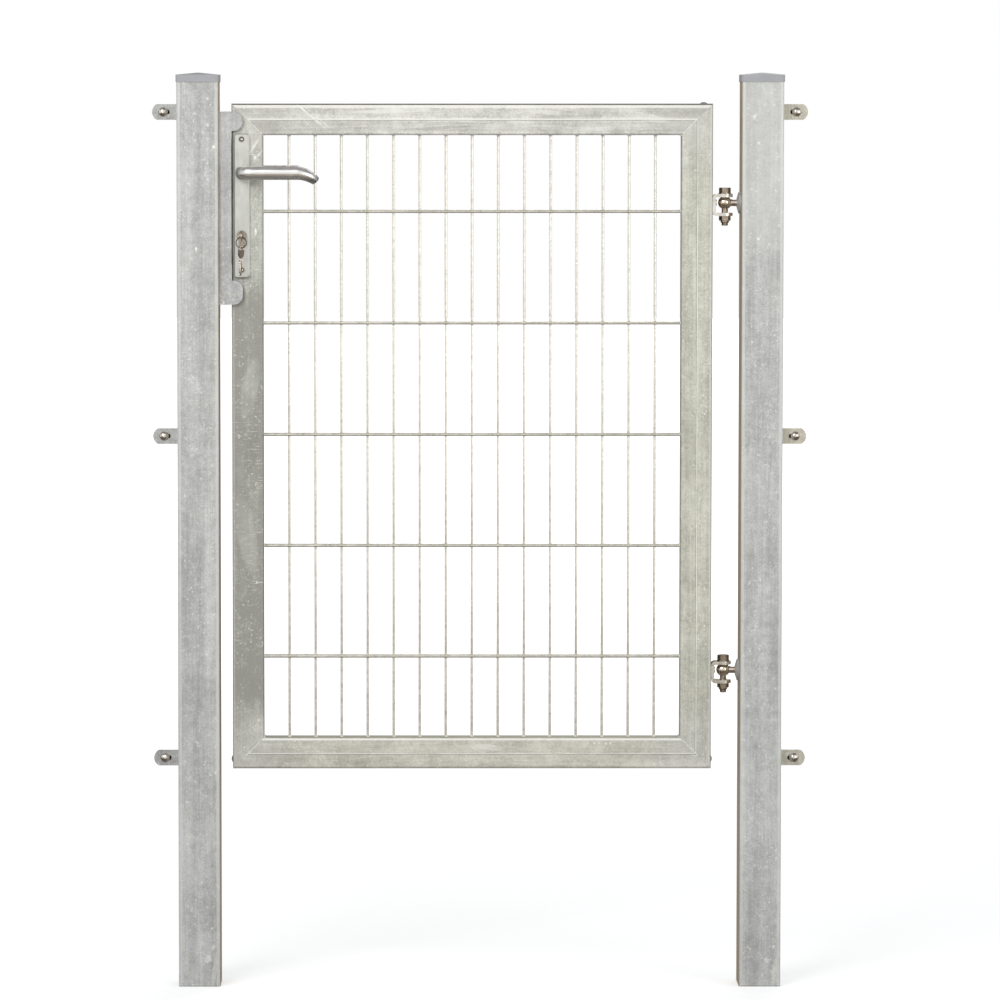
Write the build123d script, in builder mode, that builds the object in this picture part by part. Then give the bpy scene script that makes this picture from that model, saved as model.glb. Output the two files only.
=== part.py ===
from build123d import *
import os
from math import cos, radians, sin, sqrt

# Mesh garden gate with both posts, in millimetres.
# The origin is the centre of the hinge post's foot. Front is -Y, up is +Z,
# and the leaf runs from the hinge post towards -X to the lock post.

# Posts: square tube, open at the foot
post_size = 80.0
post_wall = 3.0
post_corner = 5.0
post_length = 1745.0

# Post caps: a skirt outside the tube and a shallow four-sided point
cap_wall = 1.35
cap_play = 0.15
cap_skirt = 10.0
cap_shoulder = 4.0
cap_rise = 4.0
cap_tip = 3.0

# Leaf frame: rectangular tube, mitred at the corners
leaf_width = 918.0
leaf_height = 1275.0
leaf_below_post_top = 51.0
frame_face = 60.0
frame_depth = 40.0
frame_wall = 2.0
frame_corner = 5.0
lock_gap = 24.0
axis_to_stile = 24.0
axis_to_post = 30.0

# Welded mesh: single uprights between pairs of rungs
upright_spacing = 50.0
upright_wire = 5.0
rung_spacing = 213.5
rung_wire = 6.0
wire_press = 0.8
rungs_above_middle = 5.0
wire_sides = 8

# Vent plugs of the frame
vent_from_end = 17.0
vent_head_r = 7.5
vent_head_height = 3.0
vent_stem_r = 6.0
vent_stem_length = 4.5
vent_play = 0.1

# Hinges: a fork on the leaf turns about the bored ball of an eye bolt in the post
hinge_from_end = 189.0
ball_r = 13.0
ball_flat = 10.4
ball_seat = 0.3
shank_r = 6.7
shank_past_wall = 8.0
shank_play = 0.05
flange_r = 20.5
flange_rim = 4.0
flange_crown = 7.5
flange_crown_r = 9.0
flange_rounding = 2.0
fork_plate = 6.0
fork_width = 30.0
fork_gap = 30.0
fork_bend_r = 2.5
hinge_bolt_r = 6.0
hinge_bolt_play = 0.06
hinge_washer_r = 12.0
hinge_washer = 2.5
hinge_hex = 19.5
hinge_head = 9.5
hinge_nut = 9.0
hinge_nut_collar = 4.0
hinge_nut_collar_r = 8.0
hinge_nut_rounding = 1.6
hinge_hex_corner_cut = 0.6
hinge_bolt_tail = 5.5
hinge_bolt_chamfer = 1.0
fork_screw_head_r = 6.5
fork_screw_head = 2.2
fork_screw_rounding = 1.54
fork_screw_r = 4.0
fork_screw_length = 14.0
fork_screw_play = 0.1

# Fence lugs: slotted plates on the outer side of each post, with carriage bolts
lug_below_post_top = 67.0
lug_pitch = 620.0
lug_reach = 48.0
lug_height = 30.0
lug_plate = 5.0
lug_nose = 9.0
slot_length = 22.0
slot_height = 9.0
slot_from_post = 25.0
lug_bolt_from_post = 26.5
lug_bolt_r = 4.0
lug_bolt_head_r = 9.0
lug_bolt_head = 5.0
lug_bolt_neck = 8.2
lug_bolt_neck_depth = 4.0
lug_bolt_length = 20.0
lug_washer_r = 12.0
lug_washer = 1.6
lug_nut_hex = 13.0
lug_nut = 6.5
lug_nut_play = 0.05

# Strike plate on the lock post, with a notch around the leaf's escutcheon
strike_upper_lobe = 37.0
strike_lower_lobe = 46.0
strike_reach = 45.5
strike_plate_thickness = 4.0
strike_to_leaf = 5.0
strike_to_escutcheon = 5.0
strike_nose_r = 18.0
strike_notch_r = 6.0

# Escutcheons, alike on both sides of the leaf; their screws pass above and below the lock case
escutcheon_width = 29.0
escutcheon_thickness = 8.0
escutcheon_from_edge = 5.0
escutcheon_corner = 6.0
escutcheon_bevel = 2.0
upper_screw_inset = 11.0
lower_screw_inset = 15.0
upper_screw_past_case = 13.0
lower_screw_past_case = 24.0
plate_screw_r = 2.5
plate_screw_head_r = 3.8
plate_screw_head = 2.4
plate_screw_pocket_r = 5.2
plate_screw_pocket = 3.0
plate_screw_play = 0.2

# Mortise lock inside the lock stile
spindle_below_leaf_top = 131.5
cylinder_below_spindle = 120.0
case_height = 212.0
case_above_spindle = 50.5
case_reach = 50.0
case_thickness = 16.0
case_wall = 1.5
case_play = 0.25
forend_width = 22.0
forend_overlap = 14.0
forend_thickness = 3.0
forend_corner = 4.0
latch_above_spindle = 29.5
latch_height = 28.0
latch_thickness = 12.0
latch_throw = 12.0
latch_tail = 24.0
latch_tip = 3.0
bolt_below_spindle = 66.5
bolt_height = 34.0
bolt_thickness = 10.0
bolt_throw = 1.0
bolt_tail = 32.0
bolt_play = 0.25
keep_margin = 3.0

# Profile cylinder, plug and keys
barrel_r = 8.5
web_width = 10.0
web_drop = 19.5
cylinder_proud = 3.0
cylinder_play = 0.2
stile_cylinder_play = 1.0
plug_r = 6.5
plug_play = 0.05
plug_length = 29.0
keyway_width = 2.4
keyway_height = 8.2
keyway_depth = 27.0
back_keyway_depth = 3.0
key_thickness = 2.2
key_blade = 8.0
key_blade_length = 33.0
key_in_plug = 25.0
key_bow_r = 11.5
key_hole_r = 4.0
key_hole_from_centre = 5.5
ring_r = 10.0
ring_wire_r = 0.9
ring_play = 0.6
ring_turn = 12.0
spare_key_turn = 65.0
spare_key_lean = 6.0

# Levers on a square spindle
spindle_size = 8.0
spindle_play = 0.1
spindle_hole_r = 7.0
stile_spindle_hole_r = 10.5
collar_r = 9.0
collar_play = 0.08
collar_gap = 0.3
lever_high = 26.0
lever_deep = 23.0
lever_out = 46.0
lever_straight = 108.0
lever_reach = 141.0
lever_bend_r = 20.0
lever_return = 10.0
lever_droop = 16.5
lever_tail_bend = 13.0
lever_end_high = 14.0
lever_end_deep = 13.0
lever_end_r = 1.5
spindle_in_lever = 20.0

# Places that follow from the sizes above
post_side = post_size / 2
axis_x = -post_side - axis_to_post
leaf_right = axis_x - axis_to_stile
leaf_left = leaf_right - leaf_width
leaf_top = post_length - leaf_below_post_top
leaf_bottom = leaf_top - leaf_height
lock_post_side = leaf_left - lock_gap
lock_post_x = lock_post_side - post_side
leaf_front = frame_depth / 2
opening_width = leaf_width - 2 * frame_face
opening_height = leaf_height - 2 * frame_face
mesh_x = leaf_left + leaf_width / 2
mesh_z = leaf_bottom + leaf_height / 2 + rungs_above_middle
upright_count = int(opening_width // upright_spacing)
rung_count = int(opening_height // rung_spacing)
rung_y = (upright_wire + rung_wire) / 2 - wire_press
hinge_heights = {
    "upper": leaf_top - hinge_from_end,
    "lower": leaf_bottom + hinge_from_end,
}
lug_top = post_length - lug_below_post_top
lug_heights = {"top": lug_top, "middle": lug_top - lug_pitch, "bottom": lug_top - 2 * lug_pitch}
lug_face = lug_plate / 2
spindle_z = leaf_top - spindle_below_leaf_top
case_top = spindle_z + case_above_spindle
case_bottom = case_top - case_height
case_z = (case_top + case_bottom) / 2
plate_screw_heights = (case_top + upper_screw_past_case, case_bottom - lower_screw_past_case)
escutcheon_x = leaf_left + escutcheon_from_edge + escutcheon_width / 2
escutcheon_top = plate_screw_heights[0] + upper_screw_inset
escutcheon_bottom = plate_screw_heights[1] - lower_screw_inset
escutcheon_height = escutcheon_top - escutcheon_bottom
escutcheon_z = (escutcheon_top + escutcheon_bottom) / 2
escutcheon_face = leaf_front + escutcheon_thickness
notch_top = escutcheon_top + strike_to_escutcheon
notch_bottom = escutcheon_bottom - strike_to_escutcheon
strike_top = notch_top + strike_upper_lobe
strike_bottom = notch_bottom - strike_lower_lobe
cylinder_z = spindle_z - cylinder_below_spindle
latch_z = spindle_z + latch_above_spindle
bolt_z = spindle_z - bolt_below_spindle
forend_face = leaf_left - forend_thickness
cylinder_face = escutcheon_face + cylinder_proud


def front_plane(x, y, z):
    """A plane that faces the front: its own x is X and its own y is Z."""
    return Plane(origin=(x, y, z), x_dir=(1, 0, 0), z_dir=(0, -1, 0))


def side_plane(x, y, z):
    """A plane that faces +X: its own x is Y and its own y is Z."""
    return Plane(origin=(x, y, z), x_dir=(0, 1, 0), z_dir=(1, 0, 0))


# Posts and caps


def square_tube(centre_x):
    """A post's tube, from its foot to its top."""
    with BuildPart() as tube:
        with BuildSketch():
            with Locations((centre_x, 0)):
                RectangleRounded(post_size, post_size, post_corner)
                bore = post_size - 2 * post_wall
                RectangleRounded(bore, bore, post_corner - post_wall, mode=Mode.SUBTRACT)
        extrude(amount=post_length)
    return tube.part


def post_cap(centre_x):
    """A cap whose top rests on the tube's end and whose skirt stands around it."""
    outer = post_size + 2 * (cap_play + cap_wall)
    inner = post_size + 2 * cap_play
    inner_corner = post_corner + cap_play
    outer_corner = inner_corner + cap_wall
    with BuildPart() as cap:
        with BuildSketch(Plane.XY.offset(post_length - cap_skirt)):
            with Locations((centre_x, 0)):
                RectangleRounded(outer, outer, outer_corner)
        extrude(amount=cap_skirt + cap_shoulder)
        with BuildSketch(Plane.XY.offset(post_length + cap_shoulder)):
            with Locations((centre_x, 0)):
                RectangleRounded(outer, outer, outer_corner)
        with BuildSketch(Plane.XY.offset(post_length + cap_shoulder + cap_rise)):
            with Locations((centre_x, 0)):
                RectangleRounded(cap_tip, cap_tip, cap_tip * outer_corner / outer)
        loft(ruled=True)
        with BuildSketch(Plane.XY.offset(post_length - cap_skirt)):
            with Locations((centre_x, 0)):
                RectangleRounded(inner, inner, inner_corner)
        extrude(amount=cap_skirt, mode=Mode.SUBTRACT)
    return cap.part


lock_tube = square_tube(lock_post_x)
hinge_tube = square_tube(0)

# The lock post has an opening for the latch and one for the dead bolt
with BuildPart() as lock_post:
    add(lock_tube)
    with BuildSketch(side_plane(lock_post_side, 0, 0)):
        with Locations((0, latch_z)):
            Rectangle(latch_thickness + 2 * keep_margin, latch_height + 2 * keep_margin)
        with Locations((0, bolt_z)):
            Rectangle(bolt_thickness + 2 * keep_margin, bolt_height + 2 * keep_margin)
    extrude(amount=-post_wall, mode=Mode.SUBTRACT)

# The hinge post has a hole in its wall for each eye bolt
with BuildPart() as hinge_post:
    add(hinge_tube)
    with BuildSketch(side_plane(-post_side, 0, 0)):
        with Locations(*[(0, z) for z in hinge_heights.values()]):
            Circle(shank_r + shank_play)
    extrude(amount=post_wall, mode=Mode.SUBTRACT)

lock_post_cap = post_cap(lock_post_x)
hinge_post_cap = post_cap(0)


# Fence lugs, carriage bolts and nuts


def fence_lug(post_x, side, z):
    """A slotted plate on the post's outer side; side is -1 for the left and 1 for the right."""
    face_x = post_x + side * post_side
    half = lug_height / 2
    with BuildPart() as lug:
        with BuildSketch(front_plane(face_x, lug_face, z)):
            with BuildLine():
                Polyline(
                    (side * (lug_reach - lug_nose), half),
                    (0, half),
                    (0, -half),
                    (side * (lug_reach - lug_nose), -half),
                )
                ThreePointArc(
                    (side * (lug_reach - lug_nose), -half),
                    (side * lug_reach, 0),
                    (side * (lug_reach - lug_nose), half),
                )
            make_face()
            with Locations((side * slot_from_post, 0)):
                SlotOverall(slot_length, slot_height, mode=Mode.SUBTRACT)
        extrude(amount=lug_plate)
    return lug.part


def lug_bolts(bolt_x):
    """Domed bolts with a square neck in the slot, one for each lug of a post."""
    with BuildPart() as bolts:
        for z in lug_heights.values():
            with BuildSketch(Plane(origin=(bolt_x, -lug_face, z), z_dir=(0, 0, 1))):
                with BuildLine():
                    Polyline((0, -lug_bolt_head), (0, 0), (lug_bolt_head_r, 0))
                    dome = (lug_bolt_head_r**2 + lug_bolt_head**2) / (2 * lug_bolt_head)
                    RadiusArc((lug_bolt_head_r, 0), (0, -lug_bolt_head), dome)
                make_face()
            revolve(axis=Axis((bolt_x, 0, z), (0, 1, 0)))
            with BuildSketch(front_plane(bolt_x, -lug_face, z)):
                Rectangle(lug_bolt_neck, lug_bolt_neck)
            extrude(amount=-lug_bolt_neck_depth)
            with BuildSketch(front_plane(bolt_x, -lug_face, z)):
                Circle(lug_bolt_r)
            extrude(amount=-lug_bolt_length)
    return bolts.part


def lug_nuts(bolt_x):
    """Nuts with their washers on the back of the lugs."""
    with BuildPart() as nuts:
        for z in lug_heights.values():
            with BuildSketch(front_plane(bolt_x, lug_face, z)):
                Circle(lug_washer_r)
            extrude(amount=-lug_washer)
            with BuildSketch(front_plane(bolt_x, lug_face + lug_washer, z)):
                RegularPolygon(lug_nut_hex / 2, 6, major_radius=False)
            extrude(amount=-lug_nut)
            with BuildSketch(front_plane(bolt_x, lug_face, z)):
                Circle(lug_bolt_r + lug_nut_play)
            extrude(amount=-lug_washer - lug_nut, mode=Mode.SUBTRACT)
    return nuts.part


post_lugs = {}
for post_name, post_x, side in (("lock_post", lock_post_x, -1), ("hinge_post", 0, 1)):
    for place, z in lug_heights.items():
        post_lugs[f"{post_name}_lug_{place}"] = fence_lug(post_x, side, z)
    bolt_x = post_x + side * (post_side + lug_bolt_from_post)
    post_lugs[f"{post_name}_lug_bolts"] = lug_bolts(bolt_x)
    post_lugs[f"{post_name}_lug_nuts"] = lug_nuts(bolt_x)

# Strike plate: welded to the lock post's side, in front of the leaf
with BuildPart() as strike_plate:
    strike_y = -leaf_front - strike_to_leaf
    notch_x = escutcheon_from_edge + lock_gap - strike_to_escutcheon
    with BuildSketch(front_plane(lock_post_side, strike_y, 0)) as strike_outline:
        with BuildLine():
            Polyline(
                (0, strike_bottom),
                (strike_reach, strike_bottom),
                (strike_reach, notch_bottom),
                (notch_x, notch_bottom),
                (notch_x, notch_top),
                (strike_reach, notch_top),
                (strike_reach, strike_top),
                (0, strike_top),
                close=True,
            )
        make_face()
        corners = strike_outline.vertices().group_by(Axis.X)
        fillet(corners[-1], strike_nose_r)
        fillet(corners[1], strike_notch_r)
    extrude(amount=strike_plate_thickness)


# Leaf frame


def stile_tube(centre_x):
    """An upright of the frame, before its mitres."""
    with BuildPart() as tube:
        with BuildSketch(Plane.XY.offset(leaf_bottom)):
            with Locations((centre_x, 0)):
                RectangleRounded(frame_face, frame_depth, frame_corner)
                RectangleRounded(
                    frame_face - 2 * frame_wall,
                    frame_depth - 2 * frame_wall,
                    frame_corner - frame_wall,
                    mode=Mode.SUBTRACT,
                )
        extrude(amount=leaf_height)
    return tube.part


def rail_tube(centre_z):
    """A level tube of the frame, before its mitres."""
    with BuildPart() as tube:
        with BuildSketch(side_plane(leaf_left, 0, centre_z)):
            RectangleRounded(frame_depth, frame_face, frame_corner)
            RectangleRounded(
                frame_depth - 2 * frame_wall,
                frame_face - 2 * frame_wall,
                frame_corner - frame_wall,
                mode=Mode.SUBTRACT,
            )
        extrude(amount=leaf_width)
    return tube.part


def mitre(corner_x, corner_z, kept_x, kept_z):
    """The mitre plane of a corner, facing the side that is kept."""
    return Plane(origin=(corner_x, 0, corner_z), z_dir=(kept_x, 0, kept_z))


lock_stile_tube = stile_tube(leaf_left + frame_face / 2)
hinge_stile_tube = stile_tube(leaf_right - frame_face / 2)
top_rail_tube = rail_tube(leaf_top - frame_face / 2)
bottom_rail_tube = rail_tube(leaf_bottom + frame_face / 2)


def cylinder_outline(play):
    """A round barrel over a narrow web, in the sketch that is being drawn."""
    Circle(barrel_r + play)
    with Locations((0, -web_drop / 2)):
        Rectangle(web_width + 2 * play, web_drop)
    with Locations((0, -web_drop)):
        Circle(web_width / 2 + play)


with BuildPart() as lock_stile:
    add(lock_stile_tube)
    split(bisect_by=mitre(leaf_left, leaf_bottom, -1, 1), keep=Keep.TOP)
    split(bisect_by=mitre(leaf_left, leaf_top, -1, -1), keep=Keep.TOP)
    # pocket for the lock case, behind the forend
    with BuildSketch(side_plane(leaf_left, 0, case_z)):
        Rectangle(case_thickness + 2 * case_play, case_height + 2 * case_play)
    extrude(amount=frame_wall, mode=Mode.SUBTRACT)
    with BuildSketch(side_plane(leaf_left, 0, leaf_bottom + vent_from_end)):
        Circle(vent_stem_r + vent_play)
    extrude(amount=frame_wall, mode=Mode.SUBTRACT)
    # holes through both faces for the levers' collars, the cylinder and the plate screws
    with BuildSketch(front_plane(escutcheon_x, 0, 0)):
        with Locations((0, spindle_z)):
            Circle(stile_spindle_hole_r)
        with Locations(*[(0, z) for z in plate_screw_heights]):
            Circle(plate_screw_r + plate_screw_play)
    extrude(amount=leaf_front, both=True, mode=Mode.SUBTRACT)
    with BuildSketch(front_plane(escutcheon_x, 0, cylinder_z)):
        cylinder_outline(stile_cylinder_play)
    extrude(amount=leaf_front, both=True, mode=Mode.SUBTRACT)

with BuildPart() as hinge_stile:
    add(hinge_stile_tube)
    split(bisect_by=mitre(leaf_right, leaf_bottom, 1, 1), keep=Keep.TOP)
    split(bisect_by=mitre(leaf_right, leaf_top, 1, -1), keep=Keep.TOP)
    with BuildSketch(side_plane(leaf_right, 0, 0)):
        with Locations(*[(0, z) for z in hinge_heights.values()]):
            Circle(fork_screw_r + fork_screw_play)
        with Locations((0, leaf_bottom + vent_from_end)):
            Circle(vent_stem_r + vent_play)
    extrude(amount=-frame_wall, mode=Mode.SUBTRACT)

with BuildPart() as top_rail:
    add(top_rail_tube)
    split(bisect_by=mitre(leaf_left, leaf_top, 1, 1), keep=Keep.TOP)
    split(bisect_by=mitre(leaf_right, leaf_top, -1, 1), keep=Keep.TOP)
    with BuildSketch(Plane.XY.offset(leaf_top)):
        with Locations((leaf_right - vent_from_end, 0)):
            Circle(vent_stem_r + vent_play)
    extrude(amount=-frame_wall, mode=Mode.SUBTRACT)

with BuildPart() as bottom_rail:
    add(bottom_rail_tube)
    split(bisect_by=mitre(leaf_left, leaf_bottom, 1, -1), keep=Keep.TOP)
    split(bisect_by=mitre(leaf_right, leaf_bottom, -1, -1), keep=Keep.TOP)

# Mesh panel: the wires end on the tubes' inner faces and are welded where they cross
with BuildPart() as mesh_panel:
    with BuildSketch(Plane.XY.offset(leaf_bottom + frame_face)):
        with Locations((mesh_x, 0)):
            with GridLocations(upright_spacing, 1, upright_count, 1):
                RegularPolygon(upright_wire / 2, wire_sides, major_radius=False)
    extrude(amount=opening_height)
    with BuildSketch(side_plane(leaf_left + frame_face, 0, mesh_z)):
        with GridLocations(2 * rung_y, rung_spacing, 2, rung_count):
            RegularPolygon(rung_wire / 2, wire_sides, major_radius=False)
    extrude(amount=opening_width)


# Vent plugs: one on the top rail, one low on the outer side of each stile
plug_seats = {
    "top": Plane(origin=(leaf_right - vent_from_end, 0, leaf_top), x_dir=(1, 0, 0), z_dir=(0, -1, 0)),
    "lock side": Plane(
        origin=(leaf_left, 0, leaf_bottom + vent_from_end), x_dir=(0, 0, 1), z_dir=(0, -1, 0)
    ),
    "hinge side": Plane(
        origin=(leaf_right, 0, leaf_bottom + vent_from_end), x_dir=(0, 0, -1), z_dir=(0, -1, 0)
    ),
}
with BuildPart() as vent_plugs:
    for seat in plug_seats.values():
        with BuildSketch(seat):
            with BuildLine():
                Polyline(
                    (0, vent_head_height),
                    (0, -vent_stem_length),
                    (vent_stem_r, -vent_stem_length),
                    (vent_stem_r, 0),
                    (vent_head_r, 0),
                )
                dome = (vent_head_r**2 + vent_head_height**2) / (2 * vent_head_height)
                RadiusArc((vent_head_r, 0), (0, vent_head_height), -dome)
            make_face()
        revolve(axis=Axis(seat.origin, seat.y_dir))


# Hinges


def hinge_fork(z):
    """A bent fork on the stile: two round-ended ears over and under the ball."""
    ear_low = z + ball_flat + ball_seat - fork_gap
    ear_high = ear_low + fork_gap
    half_height = fork_gap / 2 + fork_plate
    ear_end = axis_x + fork_width / 2
    with BuildPart() as fork:
        with BuildSketch(front_plane(leaf_right, 0, (ear_low + ear_high) / 2)):
            with Locations(((ear_end - leaf_right) / 2, 0)):
                Rectangle(ear_end - leaf_right, 2 * half_height)
            with Locations(((ear_end - leaf_right) / 2 + fork_plate, 0)):
                Rectangle(ear_end - leaf_right, fork_gap, mode=Mode.SUBTRACT)
        extrude(amount=fork_width / 2, both=True)
        inner_bends = fork.edges().filter_by(Axis.Y).group_by(Axis.X)[1]
        fillet(inner_bends, fork_bend_r)
        outer_bends = fork.edges().filter_by(Axis.Y).group_by(Axis.X)[0]
        fillet(outer_bends, fork_bend_r + fork_plate)
        with BuildSketch(Plane.XY.offset(ear_low - fork_plate)):
            with Locations((axis_x, 0)):
                Circle(fork_width / 2)
            with Locations(((axis_x + leaf_right) / 2, 0)):
                Rectangle(axis_to_stile, fork_width)
        extrude(amount=2 * half_height, mode=Mode.INTERSECT)
        with BuildSketch(Plane.XY.offset(ear_low - fork_plate)):
            with Locations((axis_x, 0)):
                Circle(hinge_bolt_r + hinge_bolt_play)
        extrude(amount=2 * half_height, mode=Mode.SUBTRACT)
        with BuildSketch(side_plane(leaf_right, 0, z)):
            Circle(fork_screw_r + fork_screw_play)
        extrude(amount=fork_plate, mode=Mode.SUBTRACT)
    return fork.part


def eye_bolt(z):
    """A ball with an upright bore and flats, on a shank that ends inside the post."""
    with BuildPart() as eye:
        with Locations((axis_x, 0, z)):
            Sphere(ball_r)
        with BuildSketch(side_plane(axis_x, 0, z)):
            Circle(shank_r)
        extrude(amount=axis_to_post + post_wall + shank_past_wall)
        with BuildSketch(Plane.XY.offset(z - ball_flat)):
            with Locations((axis_x, 0)):
                Circle(2 * axis_to_post)
        extrude(amount=2 * ball_flat, mode=Mode.INTERSECT)
        with BuildSketch(Plane.XY.offset(z - ball_flat)):
            with Locations((axis_x, 0)):
                Circle(hinge_bolt_r + hinge_bolt_play)
        extrude(amount=2 * ball_flat, mode=Mode.SUBTRACT)
    return eye.part


def hinge_flange(z):
    """A crowned round boss on the post, around the eye bolt's shank."""
    bore = shank_r + shank_play
    with BuildPart() as flange:
        with BuildSketch(front_plane(-post_side, 0, z)):
            with BuildLine():
                Polyline(
                    (-flange_crown, flange_crown_r),
                    (-flange_crown, bore),
                    (0, bore),
                    (0, flange_r),
                    (-flange_rim, flange_r),
                )
                Line((-flange_rim, flange_r), (-flange_crown, flange_crown_r))
            make_face()
        revolve(axis=Axis((0, 0, z), (1, 0, 0)))
        crown = flange.edges().filter_by(GeomType.CIRCLE).group_by(Axis.X)[0].sort_by(SortBy.RADIUS)
        fillet(crown[-1], flange_rounding)
    return flange.part


def chamfered_hex(z, height):
    """A hexagon about the hinge axis whose two faces lose their corners."""
    corner_r = hinge_hex / sqrt(3)
    cut = (corner_r - hinge_hex / 2) * hinge_hex_corner_cut
    with BuildPart() as hexagon:
        with BuildSketch(Plane.XY.offset(z)):
            with Locations((axis_x, 0)):
                RegularPolygon(hinge_hex / 2, 6, major_radius=False)
        extrude(amount=height)
        with BuildSketch(front_plane(axis_x, 0, z)):
            with BuildLine():
                Polyline(
                    (0, 0),
                    (corner_r - cut, 0),
                    (corner_r, cut),
                    (corner_r, height - cut),
                    (corner_r - cut, height),
                    (0, height),
                    close=True,
                )
            make_face()
        revolve(axis=Axis((axis_x, 0, z), (0, 0, 1)), mode=Mode.INTERSECT)
    return hexagon.part


def hinge_bolt(z):
    """The bolt that the leaf hangs and turns on, with the washer under its head."""
    ear_top = z + ball_flat + ball_seat + fork_plate
    head_low = ear_top + hinge_washer
    tail = ear_top - 2 * fork_plate - fork_gap - hinge_nut - hinge_nut_collar - hinge_bolt_tail
    head = chamfered_hex(head_low, hinge_head)
    with BuildPart() as bolt:
        add(head)
        with BuildSketch(Plane.XY.offset(ear_top)):
            with Locations((axis_x, 0)):
                Circle(hinge_washer_r)
        extrude(amount=hinge_washer)
        with BuildSketch(Plane.XY.offset(tail)):
            with Locations((axis_x, 0)):
                Circle(hinge_bolt_r)
        extrude(amount=head_low - tail)
        end = bolt.faces().sort_by(Axis.Z)[0]
        chamfer(end.edges(), hinge_bolt_chamfer)
    return bolt.part


def hinge_lock_nut(z):
    """A hexagon nut under the lower ear, with a rounded locking collar below."""
    ear_low = z + ball_flat + ball_seat - fork_gap - fork_plate
    bore = hinge_bolt_r + hinge_bolt_play
    hexagon = chamfered_hex(ear_low - hinge_nut, hinge_nut)
    with BuildPart() as nut:
        add(hexagon)
        with BuildSketch(Plane.XY.offset(ear_low - hinge_nut - hinge_nut_collar)):
            with Locations((axis_x, 0)):
                Circle(hinge_nut_collar_r)
        extrude(amount=hinge_nut_collar)
        rim = nut.faces().sort_by(Axis.Z)[0]
        fillet(rim.edges(), hinge_nut_rounding)
        with BuildSketch(Plane.XY.offset(ear_low)):
            with Locations((axis_x, 0)):
                Circle(bore)
        extrude(amount=-hinge_nut - hinge_nut_collar, mode=Mode.SUBTRACT)
    return nut.part


hinge_parts = {}
for place, z in hinge_heights.items():
    hinge_parts[f"{place}_hinge_fork"] = hinge_fork(z)
    hinge_parts[f"{place}_hinge_bolt"] = hinge_bolt(z)
    hinge_parts[f"{place}_hinge_nut"] = hinge_lock_nut(z)
    hinge_parts[f"{place}_eye_bolt"] = eye_bolt(z)
    hinge_parts[f"{place}_hinge_flange"] = hinge_flange(z)

# Button screws that hold the forks to the stile
with BuildPart() as fork_screws:
    fork_face = leaf_right + fork_plate
    for z in hinge_heights.values():
        with BuildSketch(side_plane(fork_face, 0, z)):
            Circle(fork_screw_head_r)
        extrude(amount=fork_screw_head)
        with BuildSketch(side_plane(fork_face, 0, z)):
            Circle(fork_screw_r)
        extrude(amount=-fork_screw_length)
    button_rims = fork_screws.edges().filter_by(GeomType.CIRCLE).group_by(Axis.X)[-1]
    fillet(button_rims, fork_screw_rounding)

# Mortise lock: a thin case behind a forend on the leaf's edge
with BuildPart() as lock_case:
    with BuildSketch(side_plane(leaf_left, 0, case_z)):
        Rectangle(case_thickness, case_height)
    extrude(amount=case_reach)
    with BuildSketch(side_plane(leaf_left, 0, case_z)):
        Rectangle(case_thickness - 2 * case_wall, case_height - 2 * case_wall)
    extrude(amount=case_reach - case_wall, mode=Mode.SUBTRACT)
    with BuildSketch(front_plane(escutcheon_x, 0, spindle_z)):
        Circle(spindle_hole_r)
    extrude(amount=case_thickness / 2, both=True, mode=Mode.SUBTRACT)
    with BuildSketch(front_plane(escutcheon_x, 0, cylinder_z)):
        cylinder_outline(cylinder_play)
    extrude(amount=case_thickness / 2, both=True, mode=Mode.SUBTRACT)
    with BuildSketch(side_plane(forend_face, 0, case_z)):
        RectangleRounded(forend_width, case_height + 2 * forend_overlap, forend_corner)
    extrude(amount=forend_thickness)
    with BuildSketch(side_plane(forend_face, 0, 0)):
        with Locations((0, latch_z)):
            Rectangle(latch_thickness + 2 * bolt_play, latch_height + 2 * bolt_play)
        with Locations((0, bolt_z)):
            Rectangle(bolt_thickness + 2 * bolt_play, bolt_height + 2 * bolt_play)
    extrude(amount=forend_thickness, mode=Mode.SUBTRACT)

# The latch's bevel is on the side that meets the lock post when the leaf closes
with BuildPart() as latch_bolt:
    tip_x = forend_face - latch_throw
    with BuildSketch(Plane.XY.offset(latch_z - latch_height / 2)):
        with BuildLine():
            Polyline(
                (leaf_left + latch_tail, latch_thickness / 2),
                (tip_x, latch_thickness / 2),
                (tip_x, latch_thickness / 2 - latch_tip),
                (forend_face, -latch_thickness / 2),
                (leaf_left + latch_tail, -latch_thickness / 2),
                close=True,
            )
        make_face()
    extrude(amount=latch_height)

with BuildPart() as dead_bolt:
    with BuildSketch(side_plane(forend_face - bolt_throw, 0, bolt_z)):
        Rectangle(bolt_thickness, bolt_height)
    extrude(amount=bolt_throw + forend_thickness + bolt_tail)


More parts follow.
